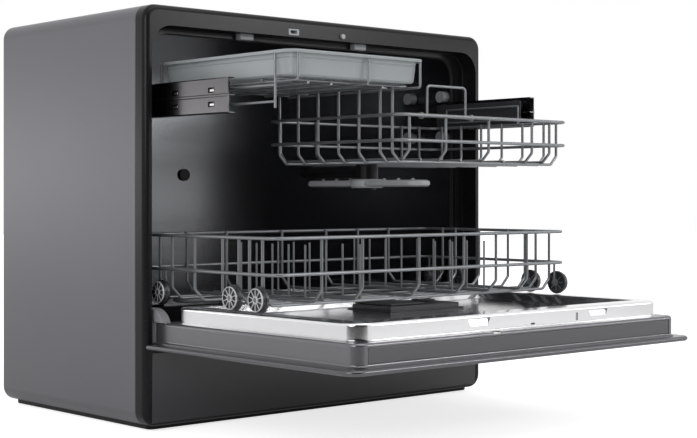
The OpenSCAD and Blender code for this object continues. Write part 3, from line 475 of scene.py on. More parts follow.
clip_plastic = finish("clip_plastic", (0.030, 0.031, 0.034), 0.42, speck=900, grain=0.04)
soften("latch_catch", "door_catch", "clip_plastic", light_plastic, 0.5 * mm)
soften("door_switch_pin", "switch_pin", "grey_plastic", light_plastic, 0.8 * mm, 3)
clip_half = 11 * mm
clip_foot = 1 * mm
clip_back = rebate_back + 1 * mm
clip_front = rebate_back - 9 * mm
for side, x in (("left", -121 * mm), ("right", 70 * mm)):
    clip_shape = (x - clip_half, x + clip_half, clip_front, clip_back, [2 * mm] * 4)
    clip = skin(f"tub_clip_{side}", [
        level_ring(clip_shape, mouth_top - clip_foot, clip_foot), level_ring(clip_shape, mouth_top),
        level_ring(clip_shape, rebate_top - 1 * mm), level_ring(clip_shape, rebate_top + 0.5 * mm)])
    settle(clip, "cabinet", "grey_plastic", light_plastic)
dress(zinc, "hinge_brackets")


# ---- Door: outer panel and frame ----
# The outer panel has a full-round lip that closes in front of the bezel. The frame moulding stands
# on it, with a small skirt at its foot and a shallow pocket in its front. Behind, it is cut out for
# the round hinge covers, and only a thin wall stands beside them.

panel_low, panel_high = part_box("door_panel")
frame_low, frame_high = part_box("door_frame")
lip_round = (panel_high.z - panel_low.z) / 2
panel_shape = (panel_low.x, panel_high.x, panel_low.y, panel_high.y,
               [square_corner] * 2 + [case_r] * 2)
panel_hollow = 2.5 * mm
panel_border = 30 * mm
panel_paint = finish("door_lacquer", (0.110, 0.110, 0.117), 0.24, metal=0.75, speck=1200,
                     grain=0.02, cloud=0.03)
rings = [level_ring(panel_shape, panel_low.z + lip_round - along, lip_round - across)
         for across, along in quarter(lip_round, 90, 0, 5)]
rings += [level_ring(panel_shape, panel_low.z + lip_round + along, lip_round - across)
          for across, along in quarter(lip_round, 0, 90, 5)]
rings += [level_ring(panel_shape, panel_high.z, panel_border),
          level_ring(panel_shape, panel_low.z + panel_hollow, panel_border)]
panel = skin("door_outer", rings)
settle(panel, "door", "dark_plastic", panel_paint, "door_panel", sharp=34)

frame_round = 3.5 * mm
skirt = 2.2 * mm
skirt_z = frame_low.z + 1.2 * mm
frame_shape = (frame_low.x, frame_high.x, frame_low.y, frame_high.y,
               [square_corner] * 2 + [16 * mm] * 2)
door_rail = 26 * mm
frame_plastic = finish("frame_plastic", (0.165, 0.164, 0.175), 0.26, metal=0.75, speck=1000,
                       cloud=0.04)
rings = [level_ring(frame_shape, frame_low.z, -skirt), level_ring(frame_shape, skirt_z, -skirt)]
rings += [level_ring(frame_shape, skirt_z + skirt - along, across - skirt)
          for across, along in quarter(skirt, 90, 0, 4)]
rings += [level_ring(frame_shape, frame_high.z - frame_round + along, frame_round - across)
          for across, along in quarter(frame_round, 0, 90, 6)]
rings += [level_ring(frame_shape, frame_high.z, door_rail),
          level_ring(frame_shape, frame_low.z, door_rail)]
door_frame = skin("door_moulding", rings, loop=True)
cover_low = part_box("hinge_covers")[0]
side_wall = 1.5 * mm
cover_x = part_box("door_liner")[1].x + side_wall
wall_x = frame_high.x - side_wall
wall_back = seam - 14 * mm
cut_foot, cut_back, cut_top = frame_low.z - 2 * mm, frame_high.y + 9 * mm, frame_high.z + 1 * mm
cover_cuts, wall_cuts = [], []
for sign in (-1, 1):
    x0, x1 = sorted((sign * cover_x, sign * wall_x))
    out0, out1 = sorted((sign * (wall_x - 0.1 * mm), sign * half))
    cover_cuts += [box_shape((x0, cover_low.y, cut_foot), (x1, cut_back, cut_top)),
                   box_shape((out0, wall_back, cut_foot), (out1, cut_back, cut_top))]
    wall_cuts.append(box_shape((out0, cover_low.y - 1 * mm, cover_low.z - 1 * mm),
                               (out1, wall_back, frame_high.z)))
strip_x = frame_high.x - 16.5 * mm
strip_low_z, strip_high_z = frame_low.z + 3.8 * mm, frame_high.z - 4.8 * mm
strip_gap = 0.6 * mm
pocket_depth = 2 * mm
strip_pocket = box_shape((-strip_x, frame_low.y - 1 * mm, strip_low_z),
                         (strip_x, frame_low.y + pocket_depth, strip_high_z), strip_gap)
striker_low, striker_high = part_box("latch_striker")
striker_gap = 0.3 * mm
striker_rise = Vector((0, 0, 2 * mm))
striker_pocket = box_shape(striker_low, striker_high + striker_rise, striker_gap)
cut(door_frame, *cover_cuts, strip_pocket, striker_pocket)
settle(door_frame, "door", "door_plastic", frame_plastic, "door_frame", sharp=34)
cover_grey = finish("cover_plastic", (0.26, 0.259, 0.272), 0.30, speck=1000, cloud=0.04)
soften("hinge_covers", "hinge_discs", "door_plastic", cover_grey, 0.8 * mm, 3, wall_cuts)
dress(zinc, "latch_striker")


# ---- Door: stainless liner ----
# Deep-drawn stainless sheet: a bright upright wall with rolled edges round a dished floor. Two
# dents, a hook slot and a small vent are pressed into its front wall.

def wedge(x, width, y, depth, low, high):
    """A dent's cutter: wider at the top, and as deep as the given depth only at its top edge."""
    shell = bmesh.new()
    taper, start, foot_depth = 5 * mm, 1 * mm, 0.2 * mm
    top, foot = width / 2, width / 2 - taper
    corners = [(x - top, y - start, high), (x + top, y - start, high), (x + top, y + depth, high),
               (x - top, y + depth, high), (x - foot, y - start, low), (x + foot, y - start, low),
               (x + foot, y + foot_depth, low), (x - foot, y + foot_depth, low)]
    v = [shell.verts.new(c) for c in corners]
    for face in ((0, 1, 2, 3), (7, 6, 5, 4), (4, 5, 1, 0), (5, 6, 2, 1), (6, 7, 3, 2),
                 (7, 4, 0, 3)):
        shell.faces.new([v[i] for i in face])
    bmesh.ops.recalc_face_normals(shell, faces=shell.faces)
    return mesh_of(shell, "dent")


liner_low, liner_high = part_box("door_liner")
liner_radii = [16 * mm] * 2 + [24 * mm] * 2
liner_shape = (liner_low.x, liner_high.x, liner_low.y, liner_high.y, liner_radii)
roll = 3.5 * mm
border = 21 * mm
dish = liner_high.z - 12 * mm
liner_flange = 1.5 * mm
bright_steel = finish("liner_stainless", (0.78, 0.78, 0.79), 0.16, metal=1.0, speck=220, grain=0.02,
                      cloud=0.03, stretch=(1, 12, 12))
rings = [level_ring(liner_shape, liner_low.z, -liner_flange),
         level_ring(liner_shape, liner_low.z + 0.8 * mm, -liner_flange),
         level_ring(liner_shape, liner_low.z + 1.0 * mm, 0)]
rings += [level_ring(liner_shape, liner_high.z - roll + along, roll - across)
          for across, along in quarter(roll, 0, 90, 6)]
rings += [level_ring(liner_shape, liner_high.z - roll + along, border + roll - across)
          for across, along in quarter(roll, 90, 10, 6)]
rings += [level_ring(liner_shape, dish + 1 * mm, border + 3 * mm),
          level_ring(liner_shape, dish, border + 5 * mm)]
liner = skin("liner_pressing", rings)
dispenser_low, dispenser_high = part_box("dispenser_body")
dispenser_lip = Vector((4.2, 4.2, 0)) * mm
dispenser_rise = Vector((0, 0, 9)) * mm
dent_depth = 3 * mm
dents = [wedge(x, width, liner_low.y, dent_depth, dish, liner_high.z - 4 * mm)
         for x, width in ((-74 * mm, 36 * mm), (131 * mm, 38 * mm))]
hook_slot = box_shape((90 * mm, liner_low.y - 1 * mm, liner_low.z + 3 * mm),
                      (94 * mm, liner_low.y + 4 * mm, liner_low.z + 12 * mm))
vent = box_shape((-2 * mm, liner_low.y - 1 * mm, liner_low.z + 2.5 * mm),
                 (18 * mm, liner_low.y + 3 * mm, liner_low.z + 4.5 * mm))
dispenser_hole = box_shape(dispenser_low + dispenser_lip,
                           dispenser_high - dispenser_lip + dispenser_rise)
cut(liner, *dents, hook_slot, vent, dispenser_hole)
settle(liner, "door", "steel", bright_steel, "door_liner", sharp=30)
soften("dispenser_body", "dispenser_case", "dark_plastic", clip_plastic, 0.6 * mm)
soften("dispenser_lid", "detergent_lid", "dark_plastic", clip_plastic, 0.7 * mm)
soften("rinse_cap", "rinse_aid_cap", "dark_plastic", clip_plastic, 0.5 * mm)


# ---- Door: controls ----
# A dark glossy strip set in a shallow pocket of the frame's front, which faces up when the door is
# closed, and the circuit board behind it.

strip_gloss = finish("control_strip", (0.072, 0.071, 0.078), 0.24, speck=1500, grain=0.01, coat=0.2)
board_green = finish("circuit_board", (0.02, 0.10, 0.04), 0.5, speck=120, grain=0.3, cloud=0.4)
strip_shape = (-strip_x, strip_x, strip_low_z, strip_high_z, [1.2 * mm] * 4)
strip_front = frame_low.y + 0.3 * mm
strip = skin("control_panel", [upright_ring(strip_shape, strip_front + 1.9 * mm),
                               upright_ring(strip_shape, strip_front + 0.5 * mm),
                               upright_ring(strip_shape, strip_front + 0.15 * mm, 0.15 * mm),
                               upright_ring(strip_shape, strip_front, 0.5 * mm)])
settle(strip, "door", "control_face", strip_gloss, "control_strip")
dress(board_green, "control_board")


# ---- Wire racks ----
# Round steel wire, bent and welded, with a grey nylon coat. Long ring wires run round each rack,
# and thin U-shaped wires go down one side, across the floor and up the other.

def wire_tree():
    """Turns the edges of a mesh into round wires, bent to a radius where they change direction."""
    tree, given, real = tree_with("bent_wires", [("Wire radius", "NodeSocketFloat", 1.5 * mm),
                                                 ("Bend radius", "NodeSocketFloat", 6 * mm),
                                                 ("Sides", "NodeSocketInt", 10)])
    link = tree.links.new
    paths = tree.nodes.new("GeometryNodeMeshToCurve")
    bends = tree.nodes.new("GeometryNodeFilletCurve")
    bends.mode = "POLY"
    fill(bends, count=6, limit_radius=True)
    section = tree.nodes.new("GeometryNodeCurvePrimitiveCircle")
    body = tree.nodes.new("GeometryNodeCurveToMesh")
    fill(body, fill_caps=True)
    smooth = tree.nodes.new("GeometryNodeSetShadeSmooth")
    link(given.outputs["Geometry"], paths.inputs["Mesh"])
    link(paths.outputs["Curve"], bends.inputs["Curve"])
    link(given.outputs["Bend radius"], bends.inputs["Radius"])
    link(given.outputs["Wire radius"], section.inputs["Radius"])
    link(given.outputs["Sides"], section.inputs["Resolution"])
    link(bends.outputs["Curve"], body.inputs["Curve"])
    link(section.outputs["Curve"], body.inputs["Profile Curve"])
    link(body.outputs["Mesh"], smooth.inputs["Geometry"])
    link(smooth.outputs["Geometry"], real.inputs[0])
    return tree


bent_wires = wire_tree()


coated = finish("nylon_coat", (0.205, 0.214, 0.224), 0.26, metal=0.5, speck=900, grain=0.05)
thick, thin = 2 * mm, 1.5 * mm
upright_r = 1.8 * mm
tight = 1 * mm
weld_step = 2.88 * mm


def wires(name, paths, radius=thin, bend=tight, closed=False, sides=10):
    """Wires along lists of corner points, as one piece."""
    points, edges = [], []
    for path in paths:
        start = len(points)
        points += path
        edges += [(start + i, start + i + 1) for i in range(len(path) - 1)]
        if closed:
            edges.append((start + len(path) - 1, start))
    return grow(name, plain_mesh(name, points, edges), bent_wires, coated, wire_radius=radius,
                bend_radius=bend, sides=sides)


def join(name, parts):
    """Several grown pieces as one."""
    joined = bmesh.new()
    for part in parts:
        joined.from_mesh(part.data)
        bpy.data.objects.remove(part)
    return put(name, mesh_of(joined, name))


def ring_path(x0, x1, y0, y1, z):
    """The four corners of a ring wire."""
    return [(x0, y0, z), (x1, y0, z), (x1, y1, z), (x0, y1, z)]


def basket_paths(x0, x1, y0, y1, floor, top, left_top, fence_xs, side_ys, foot):
    """U-shaped wires: those along Y make the floor, and those along X hang under them."""
    along = [[(fx, y0, top), (fx, y0, floor + foot), (fx, y0 + foot, floor), (fx, y1 - foot, floor),
              (fx, y1, floor + foot), (fx, y1, top)] for fx in fence_xs]
    under = floor - weld_step
    across = [[(x0, sy, left_top), (x0, sy, under + foot), (x0 + foot, sy, under),
               (x1 - foot, sy, under), (x1, sy, under + foot), (x1, sy, top)] for sy in side_ys]
    return along + across


rack_bend = 14 * mm
low_foot = 13 * mm
low_bend = 6 * mm
low_low, low_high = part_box("lower_rack_rim")
low_x, low_y0, low_y1 = low_high.x - thick, low_low.y + thick, low_high.y - thick
low_top, low_mid = low_high.z - thick, low_low.z + thick
low_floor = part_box("lower_rack_floor")[0].z + thin
inner = thick + thin - 0.12 * mm
low_fence_xs = [x * mm for x in (-174, -112, -21, 56, 114, 172)]
low_side_ys = [low_y0 + d * mm for d in (25, 48, 67, 97, 150, 195, 220)]
low_rings = wires("low_rings", [ring_path(-low_x, low_x, low_y0, low_y1, z)
                                for z in (low_top, low_mid)],
                  thick, rack_bend, closed=True, sides=12)
low_uprights = wires("low_uprights", basket_paths(
    inner - low_x, low_x - inner, low_y0 + inner, low_y1 - inner, low_floor, low_top + thick,
    low_top + thick, low_fence_xs, low_side_ys, low_foot), upright_r, low_bend)
lower_basket = join("lower_basket", [low_rings, low_uprights])
settle(lower_basket, "lower_rack", "coated_wire", coated, "lower_rack_rim", "lower_rack_uprights",
       "lower_rack_cross", sharp=60)

tine_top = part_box("lower_rack_tines")[1].z
tine_r = 1.25 * mm
foot_inset = 27 * mm
tine_xs = [x * mm for x in (-150, -92, 63, 121)]
tine_ys = [low_y0 + (30 + 30 * i) * mm for i in range(7)]
lower_tines = join("lower_tines", [
    wires("tine_feet", [[(x, low_y0 + foot_inset, low_floor), (x, low_y1 - foot_inset, low_floor)]
                        for x in tine_xs]),
    wires("tines", [[(x, y, low_floor), (x, y, tine_top)] for x in tine_xs for y in tine_ys],
          tine_r)])
settle(lower_tines, "lower_rack", "coated_wire", coated, "lower_rack_tines", "lower_rack_floor",
       sharp=60)


# ---- Rack wheels ----
# Each wheel is a thin nylon disc with a broad hub, which carries a pale ring and ten spokes outside
# and eight ribs inside. It turns on an axle at the foot of a wire welded to the rack's second ring.

def wheel_tree():
    """Spokes round a hub, one at each point of a circle, laid along the circle's radius."""
    tree, given, real = tree_with("wheel_spokes", [("Spokes", "NodeSocketInt", 8),
                                                   ("Radius", "NodeSocketFloat", 6 * mm),
                                                   ("Length", "NodeSocketFloat", 6 * mm),
                                                   ("Width", "NodeSocketFloat", 1 * mm)])
    link = tree.links.new
    circle = tree.nodes.new("GeometryNodeMeshCircle")
    circle.fill_type = "NONE"
    spoke = tree.nodes.new("GeometryNodeMeshCube")
    size = tree.nodes.new("ShaderNodeCombineXYZ")
    turn = tree.nodes.new("FunctionNodeAlignRotationToVector")
    turn.axis = "X"
    where = tree.nodes.new("GeometryNodeInputPosition")
    seat = tree.nodes.new("GeometryNodeInstanceOnPoints")
    both = tree.nodes.new("GeometryNodeJoinGeometry")
    link(given.outputs["Spokes"], circle.inputs["Vertices"])
    link(given.outputs["Radius"], circle.inputs["Radius"])
    link(given.outputs["Length"], size.inputs["X"])
    link(given.outputs["Width"], size.inputs["Y"])
    link(given.outputs["Width"], size.inputs["Z"])
    link(size.outputs[0], spoke.inputs["Size"])
    link(where.outputs[0], turn.inputs["Vector"])
    link(circle.outputs["Mesh"], seat.inputs["Points"])
    link(spoke.outputs["Mesh"], seat.inputs["Instance"])
    link(turn.outputs[0], seat.inputs["Rotation"])
    link(seat.outputs[0], both.inputs[0])
    link(given.outputs["Geometry"], both.inputs[0])
    link(both.outputs[0], real.inputs[0])
    return tree


def along_x(x, y, z, sign=1):
    """Lays what was turned round Z along X, to the right or the left, and moves it to a place."""
    return Matrix.Translation((x, y, z)) @ Matrix.Rotation(sign * math.pi / 2, 4, "Y")


def spokes_at(name, height, material, **sizes):
    """A ring of spokes at a height along the wheel's axle."""
    piece = grow(name, bpy.data.meshes.new("none"), wheel_spokes, material, **sizes)
    piece.data.transform(Matrix.Translation((0, 0, height)))
    return piece


def turned(name, outline, steps=36):
    """A solid turned round Z from (radius, height) points."""
    rings = [[(r * math.cos(2 * math.pi * i / steps), r * math.sin(2 * math.pi * i / steps), z)
              for i in range(steps)] for r, z in outline]
    return skin(name, rings, loop=True)


wheel_spokes = wheel_tree()
wheel_grey = finish("wheel_nylon", (0.022, 0.023, 0.025), 0.30, speck=900, grain=0.04)
hub_grey = finish("hub_rings", (0.50, 0.51, 0.52), 0.32, speck=900, grain=0.04)
rib_grey = finish("wheel_ribs", (0.11, 0.115, 0.12), 0.32, speck=900, grain=0.04)
wheel_r = 15 * mm
hub_r = 12.7 * mm
bore_r = 3.05 * mm
wheel_body = [(bore_r, 0), (4.5 * mm, 0), (5 * mm, 1.2 * mm), (11.4 * mm, 1.2 * mm),
              (11.8 * mm, 0.2 * mm), (14.2 * mm, 0.2 * mm), (wheel_r, 1.0 * mm),
              (wheel_r, 3.6 * mm), (14.4 * mm, 4.2 * mm), (hub_r + 0.6 * mm, 4.2 * mm),
              (hub_r, 4.8 * mm), (hub_r, 8.6 * mm), (11.4 * mm, 8.6 * mm), (11.2 * mm, 7.4 * mm),
              (4.4 * mm, 7.4 * mm), (4.2 * mm, 8.2 * mm), (bore_r, 8.2 * mm)]
hub_ring = [(11.8 * mm, 7.9 * mm), (11.9 * mm, 9.2 * mm), (12.1 * mm, 9.5 * mm),
            (12.5 * mm, 9.5 * mm), (12.9 * mm, 9.1 * mm), (12.9 * mm, 8.0 * mm)]
hub_centre = [(bore_r, 7.9 * mm), (bore_r, 9.4 * mm), (4.1 * mm, 9.4 * mm), (4.5 * mm, 9.0 * mm),
              (4.5 * mm, 7.9 * mm)]
for side, sign in (("l", -1), ("r", 1)):
    for number in range(1, 5):
        node = f"wheel_{side}{number}"
        low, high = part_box(node)
        middle = (low + high) / 2
        inner_x = low.x if sign > 0 else high.x
        tyre = turned(f"{node}_disc", wheel_body)
        spokes = spokes_at(f"{node}_spokes", 8.7 * mm, hub_grey, spokes=10, radius=8.1 * mm,
                           length=7.8 * mm, width=0.8 * mm)
        cap = join(f"{node}_hub", [spokes, turned("hub_ring", hub_ring),
                                   turned("hub_eye", hub_centre)])
        ribs = spokes_at(f"{node}_ribs", 0.75 * mm, rib_grey, spokes=8, radius=8.2 * mm,
                         length=6.6 * mm, width=1.2 * mm)
        for part in (tyre, cap, ribs):
            part.data.transform(along_x(inner_x, middle.y, middle.z, sign))
        settle(ribs, node, "wheel_plastic", rib_grey)
        settle(tyre, node, "wheel_plastic", wheel_grey, node)
        settle(cap, node, "grey_plastic", hub_grey)

wheel_boxes = [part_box(f"wheel_l{number}") for number in range(1, 5)]
wheel_ys = [(low.y + high.y) / 2 for low, high in wheel_boxes]
wheel_z = (wheel_boxes[0][0].z + wheel_boxes[0][1].z) / 2
cap_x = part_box("wheel_axles")[1].x
axle_core = 0.5 * mm
bevel = 0.3 * mm
axle_stems = [[(sign * low_x, y, low_mid), (sign * low_x, y, wheel_z)]
              for sign in (-1, 1) for y in wheel_ys]
collars = []
for sign in (-1, 1):
    for y in wheel_ys:
        for start, end, r in ((low_x - 1 * mm, cap_x - 0.2 * mm, 2.9 * mm),
                              (low_x + 0.5 * mm, low_x + 2.6 * mm, 5 * mm),
                              (cap_x - 0.8 * mm, cap_x, 4.4 * mm)):
            collar = turned("collar", [(axle_core, start), (r - bevel, start), (r, start + bevel),
                                       (r, end - bevel), (r - bevel, end), (axle_core, end)], 24)
            collar.data.transform(along_x(0, y, wheel_z, sign))
            collars.append(collar)
axle_set = join("rack_axles", [wires("axle_wires", axle_stems), *collars])
settle(axle_set, "lower_rack", "clip_plastic", coated, "wheel_axles")


# ---- Spray arms ----
# Two hollow moulded arms with a round hub and a row of small jets along each blade. The lower one
# turns on a post in the tub's floor, the upper one hangs under the rack.

def arm(node, name, along):
    """A blade with rounded tips and a raised hub, lofted in five levels."""
    low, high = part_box(node)
    middle = (low + high) / 2
    reach = (high[along] - low[along]) / 2
    half_width = 17 * mm
    blade_shape = (-reach, reach, -half_width, half_width, [16.5 * mm] * 4)
    levels = ((low.z + 1.5 * mm, 3 * mm), (low.z + 3 * mm, 0.6 * mm), (low.z + 5.5 * mm, 0),
              (high.z - 3 * mm, 0.8 * mm), (high.z - 1.5 * mm, 4 * mm))
    blade = skin(f"{name}_blade", [level_ring(blade_shape, z, step) for z, step in levels])
    bore, hub_edge = 8.05 * mm, 21 * mm
    hub = turned(f"{name}_hub", [(bore, low.z), (19 * mm, low.z), (hub_edge, low.z + 2 * mm),
                                 (hub_edge, high.z - 2 * mm), (18 * mm, high.z), (bore, high.z)])
    jet_r = 2.4 * mm
    jet_start, jet_step = 25 * mm, (reach - 34 * mm) / 5.5
    jets = [(s * (jet_start + i * jet_step), s * (6 if i % 2 == 0 else -6) * mm, high.z - 1.5 * mm)
            for s in (-1, 1) for i in range(1, 5)]
    rims = grow(f"{name}_jets", plain_mesh("jets", jets), round_heads, light_plastic,
                radius=jet_r, height=jet_r)
    piece = join(name, [blade, hub, rims])
    if along == 1:
        piece.data.transform(Matrix.Rotation(math.pi / 2, 4, "Z"))
    piece.data.transform(Matrix.Translation((middle.x, middle.y, 0)))
    body = body_of(nodes[node])[0]
    return settle(piece, body, "grey_plastic", light_plastic, node)


arm("lower_spray_arm", "lower_arm", 0)
arm("upper_spray_arm", "upper_arm", 1)
dress(black_plastic_and_painted_shade, "upper_arm_mount")


# ---- Upper rack ----
# A shallower basket of the same wire on the right, whose left wall rises to a wire shelf under the
# cutlery tray, so that tall plates stand under it. A folding loop of wire steadies tall glasses.

fence_low, fence_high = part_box("upper_rack_uprights")
hold_low, hold_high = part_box("glass_holder")
hold_y = (hold_low.y + hold_high.y) / 2
up_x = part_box("upper_rack_rim")[1].x - thick
up_left = fence_low.x - inner + thin
up_y0 = fence_low.y - inner + thin
up_y1 = fence_high.y + inner - thin
up_top = case_high.z - 129 * mm
up_mid = up_top - 30 * mm
up_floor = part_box("upper_rack_floor")[0].z + thin
tray_low, tray_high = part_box("cutlery_tray")
up_fence_xs = [up_left + 18 * mm] + [up_x - d * mm for d in (224, 148, 67, 33)]
up_floor_xs = [up_left + 48 * mm] + [up_x - d * mm for d in (186, 108)]
up_side_ys = [up_y0 + d * mm for d in (17, 38, 75, 112, 150, 188, 225)]
post_ys = (up_y0 + 6 * mm, tray_high.y - 9 * mm)
right_start = up_y0 + 86 * mm
shelf = tray_low.z - 2.5 * mm
hang = shelf - 2.4 * mm
shelf_xs = [tray_low.x + d * mm for d in (13.5, 47.5, 81.5, 116.5, 160.5, 198.5)]
hook_y = tray_low.y + 3.5 * mm
hook_top = tray_high.z - 2.5 * mm
side_zs = (up_top + 7 * mm, up_top + 25 * mm)
shelf_start, shelf_end = shelf_xs[0] - 3 * mm, shelf_xs[5] + 2 * mm
shelf_back = post_ys[1] + thin
hook_bend = 3.5 * mm
up_foot = 11 * mm
up_bend = 5 * mm
up_parts = [
    wires("up_rings", [ring_path(up_left, up_x, up_y0, up_y1, z) for z in (up_top, up_mid)], thick,
          rack_bend, closed=True, sides=12),
    wires("up_uprights", basket_paths(
        up_left + inner, up_x - inner, up_y0 + inner, up_y1 - inner, up_floor, up_top + thick,
        shelf + thin, up_fence_xs, up_side_ys, up_foot), upright_r, up_bend),
    wires("up_long", [[(x, up_y0 + rack_bend, up_floor), (x, up_y1 - rack_bend, up_floor)]
                      for x in up_floor_xs]),
    wires("up_side_wires", [[(x, y, z), (x, post_ys[1], z)] for z in side_zs
                            for x, y in ((-up_x, post_ys[0]), (up_x, right_start))]),
    wires("up_posts", [[(up_x, y, up_top), (up_x, y, side_zs[1])]
                       for y in (right_start, post_ys[1])]
          + [[(-up_x, y, up_top), (-up_x, y, hook_top)] for y in post_ys]),
    wires("shelf_cross", [[(-up_x, y, shelf), (shelf_xs[5], y, shelf)] for y in post_ys]
          + [[(shelf_start, y, shelf), (shelf_end, y, shelf)]
             for y in (up_side_ys[1] + weld_step, up_side_ys[5] - weld_step)]),
    wires("shelf_long", [[(shelf_xs[i], post_ys[0] - thin, hang), (shelf_xs[i], shelf_back, hang)]
                         for i in (1, 2, 4)]),
    wires("tray_hooks", [[(shelf_xs[i], shelf_back, hang), (shelf_xs[i], hook_y, hang),
                          (shelf_xs[i], hook_y, hook_top)] for i in (0, 3, 5)], thin, hook_bend)]
eye_r, eye_out, eye_length = thick + 0.3 * mm, thick + 2 * mm, 3 * mm
for x in (hold_low.x - 3.5 * mm, hold_high.x + 0.5 * mm):
    eye = turned("holder_eye", [(eye_r, 0), (eye_out, 0), (eye_out, eye_length),
                                (eye_r, eye_length)], 24)
    eye.data.transform(along_x(x, hold_y, up_top))
    up_parts.append(eye)
upper_basket = join("upper_basket", up_parts)
settle(upper_basket, "upper_rack", "coated_wire", coated, "upper_rack_rim", "upper_rack_uprights",
       "upper_rack_floor", "upper_rack_cross", sharp=60)

hold_x0, hold_x1 = hold_low.x + 8 * mm, hold_high.x - 8 * mm
holder = join("glass_loop", [
    wires("loop", [[(hold_x0, hold_y, up_top), (hold_x0, hold_y, hold_high.z - thin),
                    (hold_x1, hold_y, hold_high.z - thin), (hold_x1, hold_y, up_top)]],
          thin, up_bend),
    wires("pivot", [[(hold_low.x, hold_y, up_top), (hold_high.x, hold_y, up_top)]], thick)])
settle(holder, "glass_holder", "coated_wire", coated, "glass_holder", sharp=60)


# ---- Rails ----
# Two-tier channels folded from steel strip, with a bead along the middle and a bright tab in each
# punched slot. The rack's rollers run inside them, and the rails run on rollers in the tub.

rail_steel = finish("rail_steel", (0.130, 0.126, 0.130), 0.24, metal=1.0, speck=300, cloud=0.08,
                    stretch=(1, 14, 14))
tab_steel = finish("rail_tabs", (0.62, 0.61, 0.61), 0.20, metal=1.0, speck=300)
leaf = 1.2 * mm
bead_half, bead_top, bead_depth = 1.8 * mm, 0.9 * mm, 0.7 * mm
slot_half = Vector((2, 6, 3)) * mm
slot_steps = [(d * mm, rise * mm) for d in (31, 101, 171, 236) for rise in (10.6, 26.6)]
for side, sign in (("left", -1), ("right", 1)):
    low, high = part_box(f"rail_{side}")
    web, deep = (high.x, low.x) if sign > 0 else (low.x, high.x)
    fold, bead = web - sign * leaf, web + sign * bead_depth
    middle_z = (low.z + high.z) / 2
    section = [(deep, low.z), (fold, low.z), (web, low.z + leaf), (web, middle_z - bead_half),
               (bead, middle_z - bead_top), (bead, middle_z + bead_top),
               (web, middle_z + bead_half), (web, high.z - leaf), (fold, high.z), (deep, high.z)]
    for top, foot in ((high.z - leaf, middle_z + leaf / 2), (middle_z - leaf / 2, low.z + leaf)):
        section += [(deep, top), (fold, top), (fold, foot), (deep, foot)]
    channel = skin(f"rail_channel_{side}", [[(x, y, z) for x, z in section]
                                            for y in (low.y, high.y)])
    slots = [Vector((web, low.y + step, low.z + rise)) for step, rise in slot_steps]
    cut(channel, *[box_shape(slot - slot_half, slot + slot_half) for slot in slots])
    settle(channel, f"rail_{side}", "zinc", rail_steel, f"rail_{side}", sharp=25)
    tab_x = sorted((web - sign * 1.0 * mm, web - sign * 2.2 * mm))
    tabs = [skin("tab", [level_ring((*tab_x, slot.y - 3.4 * mm, slot.y + 4.4 * mm,
                                     [0.3 * mm] * 4), slot.z + up)
                         for up in (-1.5 * mm, 0.9 * mm)]) for slot in slots]
    settle(join(f"rail_tabs_{side}", tabs), f"rail_{side}", "zinc", tab_steel)
dress(clip_plastic, "rack_rollers")


# ---- Cutlery tray ----
# A pale grey moulding with sloping sides and round corners, a flat rim, a groove under the rim
# and a rib that divides it into two compartments.

tray_shape = (tray_low.x, tray_high.x, tray_low.y, tray_high.y, [14 * mm] * 4)
rim = 7 * mm
tray_grey = finish("tray_plastic", (0.30, 0.32, 0.33), 0.34, speck=1000, grain=0.04, cloud=0.03)
lip = 1.2 * mm
tray_wall = [(tray_low.z, rim + 5 * mm), (tray_low.z + 2 * mm, rim + 2.6 * mm),
             (tray_high.z - 9 * mm, rim + 0.6 * mm), (tray_high.z - 8.6 * mm, rim + 1.2 * mm),
             (tray_high.z - 8.0 * mm, rim + 1.2 * mm), (tray_high.z - 7.6 * mm, rim + 0.4 * mm),
             (tray_high.z - 3.4 * mm, rim), (tray_high.z - 3.4 * mm, 0.6 * mm)]
rings = [level_ring(tray_shape, z, step) for z, step in tray_wall]
rings += [level_ring(tray_shape, tray_high.z - lip + along, lip - across)
          for across, along in quarter(lip, 0, 90, 4)]
tray = skin("tray_body", rings)
tray_split = tray_low.x + 116 * mm
wall = 2.5 * mm
wells = []
for x0, x1 in ((tray_low.x + rim + wall, tray_split - wall / 2),
               (tray_split + wall, tray_high.x - rim - wall)):
    well = (x0, x1, tray_low.y + rim + wall, tray_high.y - rim - wall, [10 * mm] * 4)
    block = skin("well", [level_ring(well, tray_low.z + wall, 5 * mm),
                          level_ring(well, tray_low.z + 5 * mm, wall),
                          level_ring(well, tray_high.z + 1 * mm)])
    wells.append(block.data)
    bpy.data.objects.remove(block)
cut(tray, *wells)
settle(tray, "cutlery_tray", "grey_plastic", tray_grey, "cutlery_tray", sharp=34)


# ---- Stage, light and camera ----
# A white floor that keeps the machine's shadow, a soft white room with softboxes on the left, above
# and on the right, a dark card on the left front that only gloss and metal mirror, and the camera.

def seen(tree, mirrored_share):
    """1 where the camera sees it, this share where gloss, metal or glass shows it, and else 0."""
    rays = tree.nodes.new("ShaderNodeLightPath").outputs
    mirrored = worked(tree, "MAXIMUM", rays["Is Glossy Ray"], rays["Is Transmission Ray"])
    share = worked(tree, "MULTIPLY", mirrored, mirrored_share)
    return worked(tree, "MAXIMUM", rays["Is Camera Ray"], share)


world = bpy.data.worlds.new("white_room")
bpy.context.scene.world = world
world.use_nodes = True
sky = world.node_tree.nodes["Background"]
fill(sky, color=(1, 1, 1, 1))
level = world.node_tree.nodes.new("ShaderNodeMapRange")
fill(level, to_min=0.55, to_max=1.0)
world.node_tree.links.new(seen(world.node_tree, 1.0), level.inputs["Value"])
world.node_tree.links.new(level.outputs["Result"], sky.inputs["Strength"])

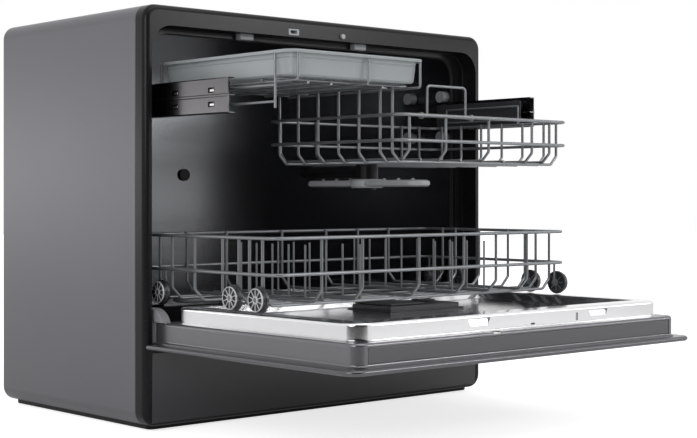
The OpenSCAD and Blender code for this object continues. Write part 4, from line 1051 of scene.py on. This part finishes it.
floor_half = 8
floor = put("floor", plain_mesh("floor", [(x * floor_half, y * floor_half, 0) for x, y in (
    (-1, -1), (1, -1), (1, 1), (-1, 1))], faces=[(0, 1, 2, 3)]))
floor_white = bpy.data.materials.new("floor_white")
floor_white.use_nodes = True
floor_tree = floor_white.node_tree
floor_shader = floor_tree.nodes["Principled BSDF"]
fill(floor_shader, base_color=(0.86, 0.86, 0.86, 1), roughness=0.9, emission_color=(1, 1, 1, 1))
floor_lift = worked(floor_tree, "MULTIPLY", seen(floor_tree, 0.3), 0.74)
floor_tree.links.new(floor_lift, floor_shader.inputs["Emission Strength"])
floor.data.materials.append(floor_white)

card_top = 1.3
card_foot = 0.001
card_ends = ((-1.70, -0.18), (0.06, -1.90))
card = put("dark_card", plain_mesh("dark_card", [
    (*card_ends[0], card_foot), (*card_ends[1], card_foot), (*card_ends[1], card_top),
    (*card_ends[0], card_top)], faces=[(0, 1, 2, 3)]))
card.data.materials.append(finish("card_black", (0.006, 0.006, 0.006), 0.9, shine=0.0))
card.visible_camera = card.visible_diffuse = card.visible_shadow = False


def softbox(name, place, aim, size, power):
    """A soft lamp at a place, turned to the spot that it is aimed at."""
    lamp = bpy.data.lights.new(name, "AREA")
    lamp.shape = "RECTANGLE"
    lamp.size, lamp.size_y = size
    lamp.energy = power
    stand = put(name, lamp)
    stand.location = place
    stand.rotation_euler = (Vector(aim) - Vector(place)).to_track_quat("-Z", "Y").to_euler()


softbox("side_box", (-1.1, -0.55, 0.62), (-0.285, 0.08, 0.36), (0.5, 0.5), 4)
softbox("top_box", (0.2, -0.8, 2.2), (0, 0, 0.25), (1.8, 1.4), 12)
softbox("band_box", (0.98, -1.42, 0.76), (-0.1, 0, 0.45), (0.5, 0.26), 4.5)
softbox("right_box", (1.86, -1.45, 0.54), (0.25, -0.05, 0.30), (0.35, 0.3), 1.8)
softbox("rear_box", (-1.26, 1.9, 0.34), (-0.285, 0.25, 0.30), (0.9, 0.3), 2)

lens = bpy.data.cameras.new("camera")
lens.sensor_width = 36
lens.lens = 76.43
lens.shift_y = -0.0333
camera = put("camera", lens)
camera.location = (-1.2586, -1.4241, 0.2757)
camera.rotation_euler = (math.radians(90), 0, -0.7342)
bpy.context.scene.camera = camera
bpy.context.scene.view_settings.view_transform = "Standard"
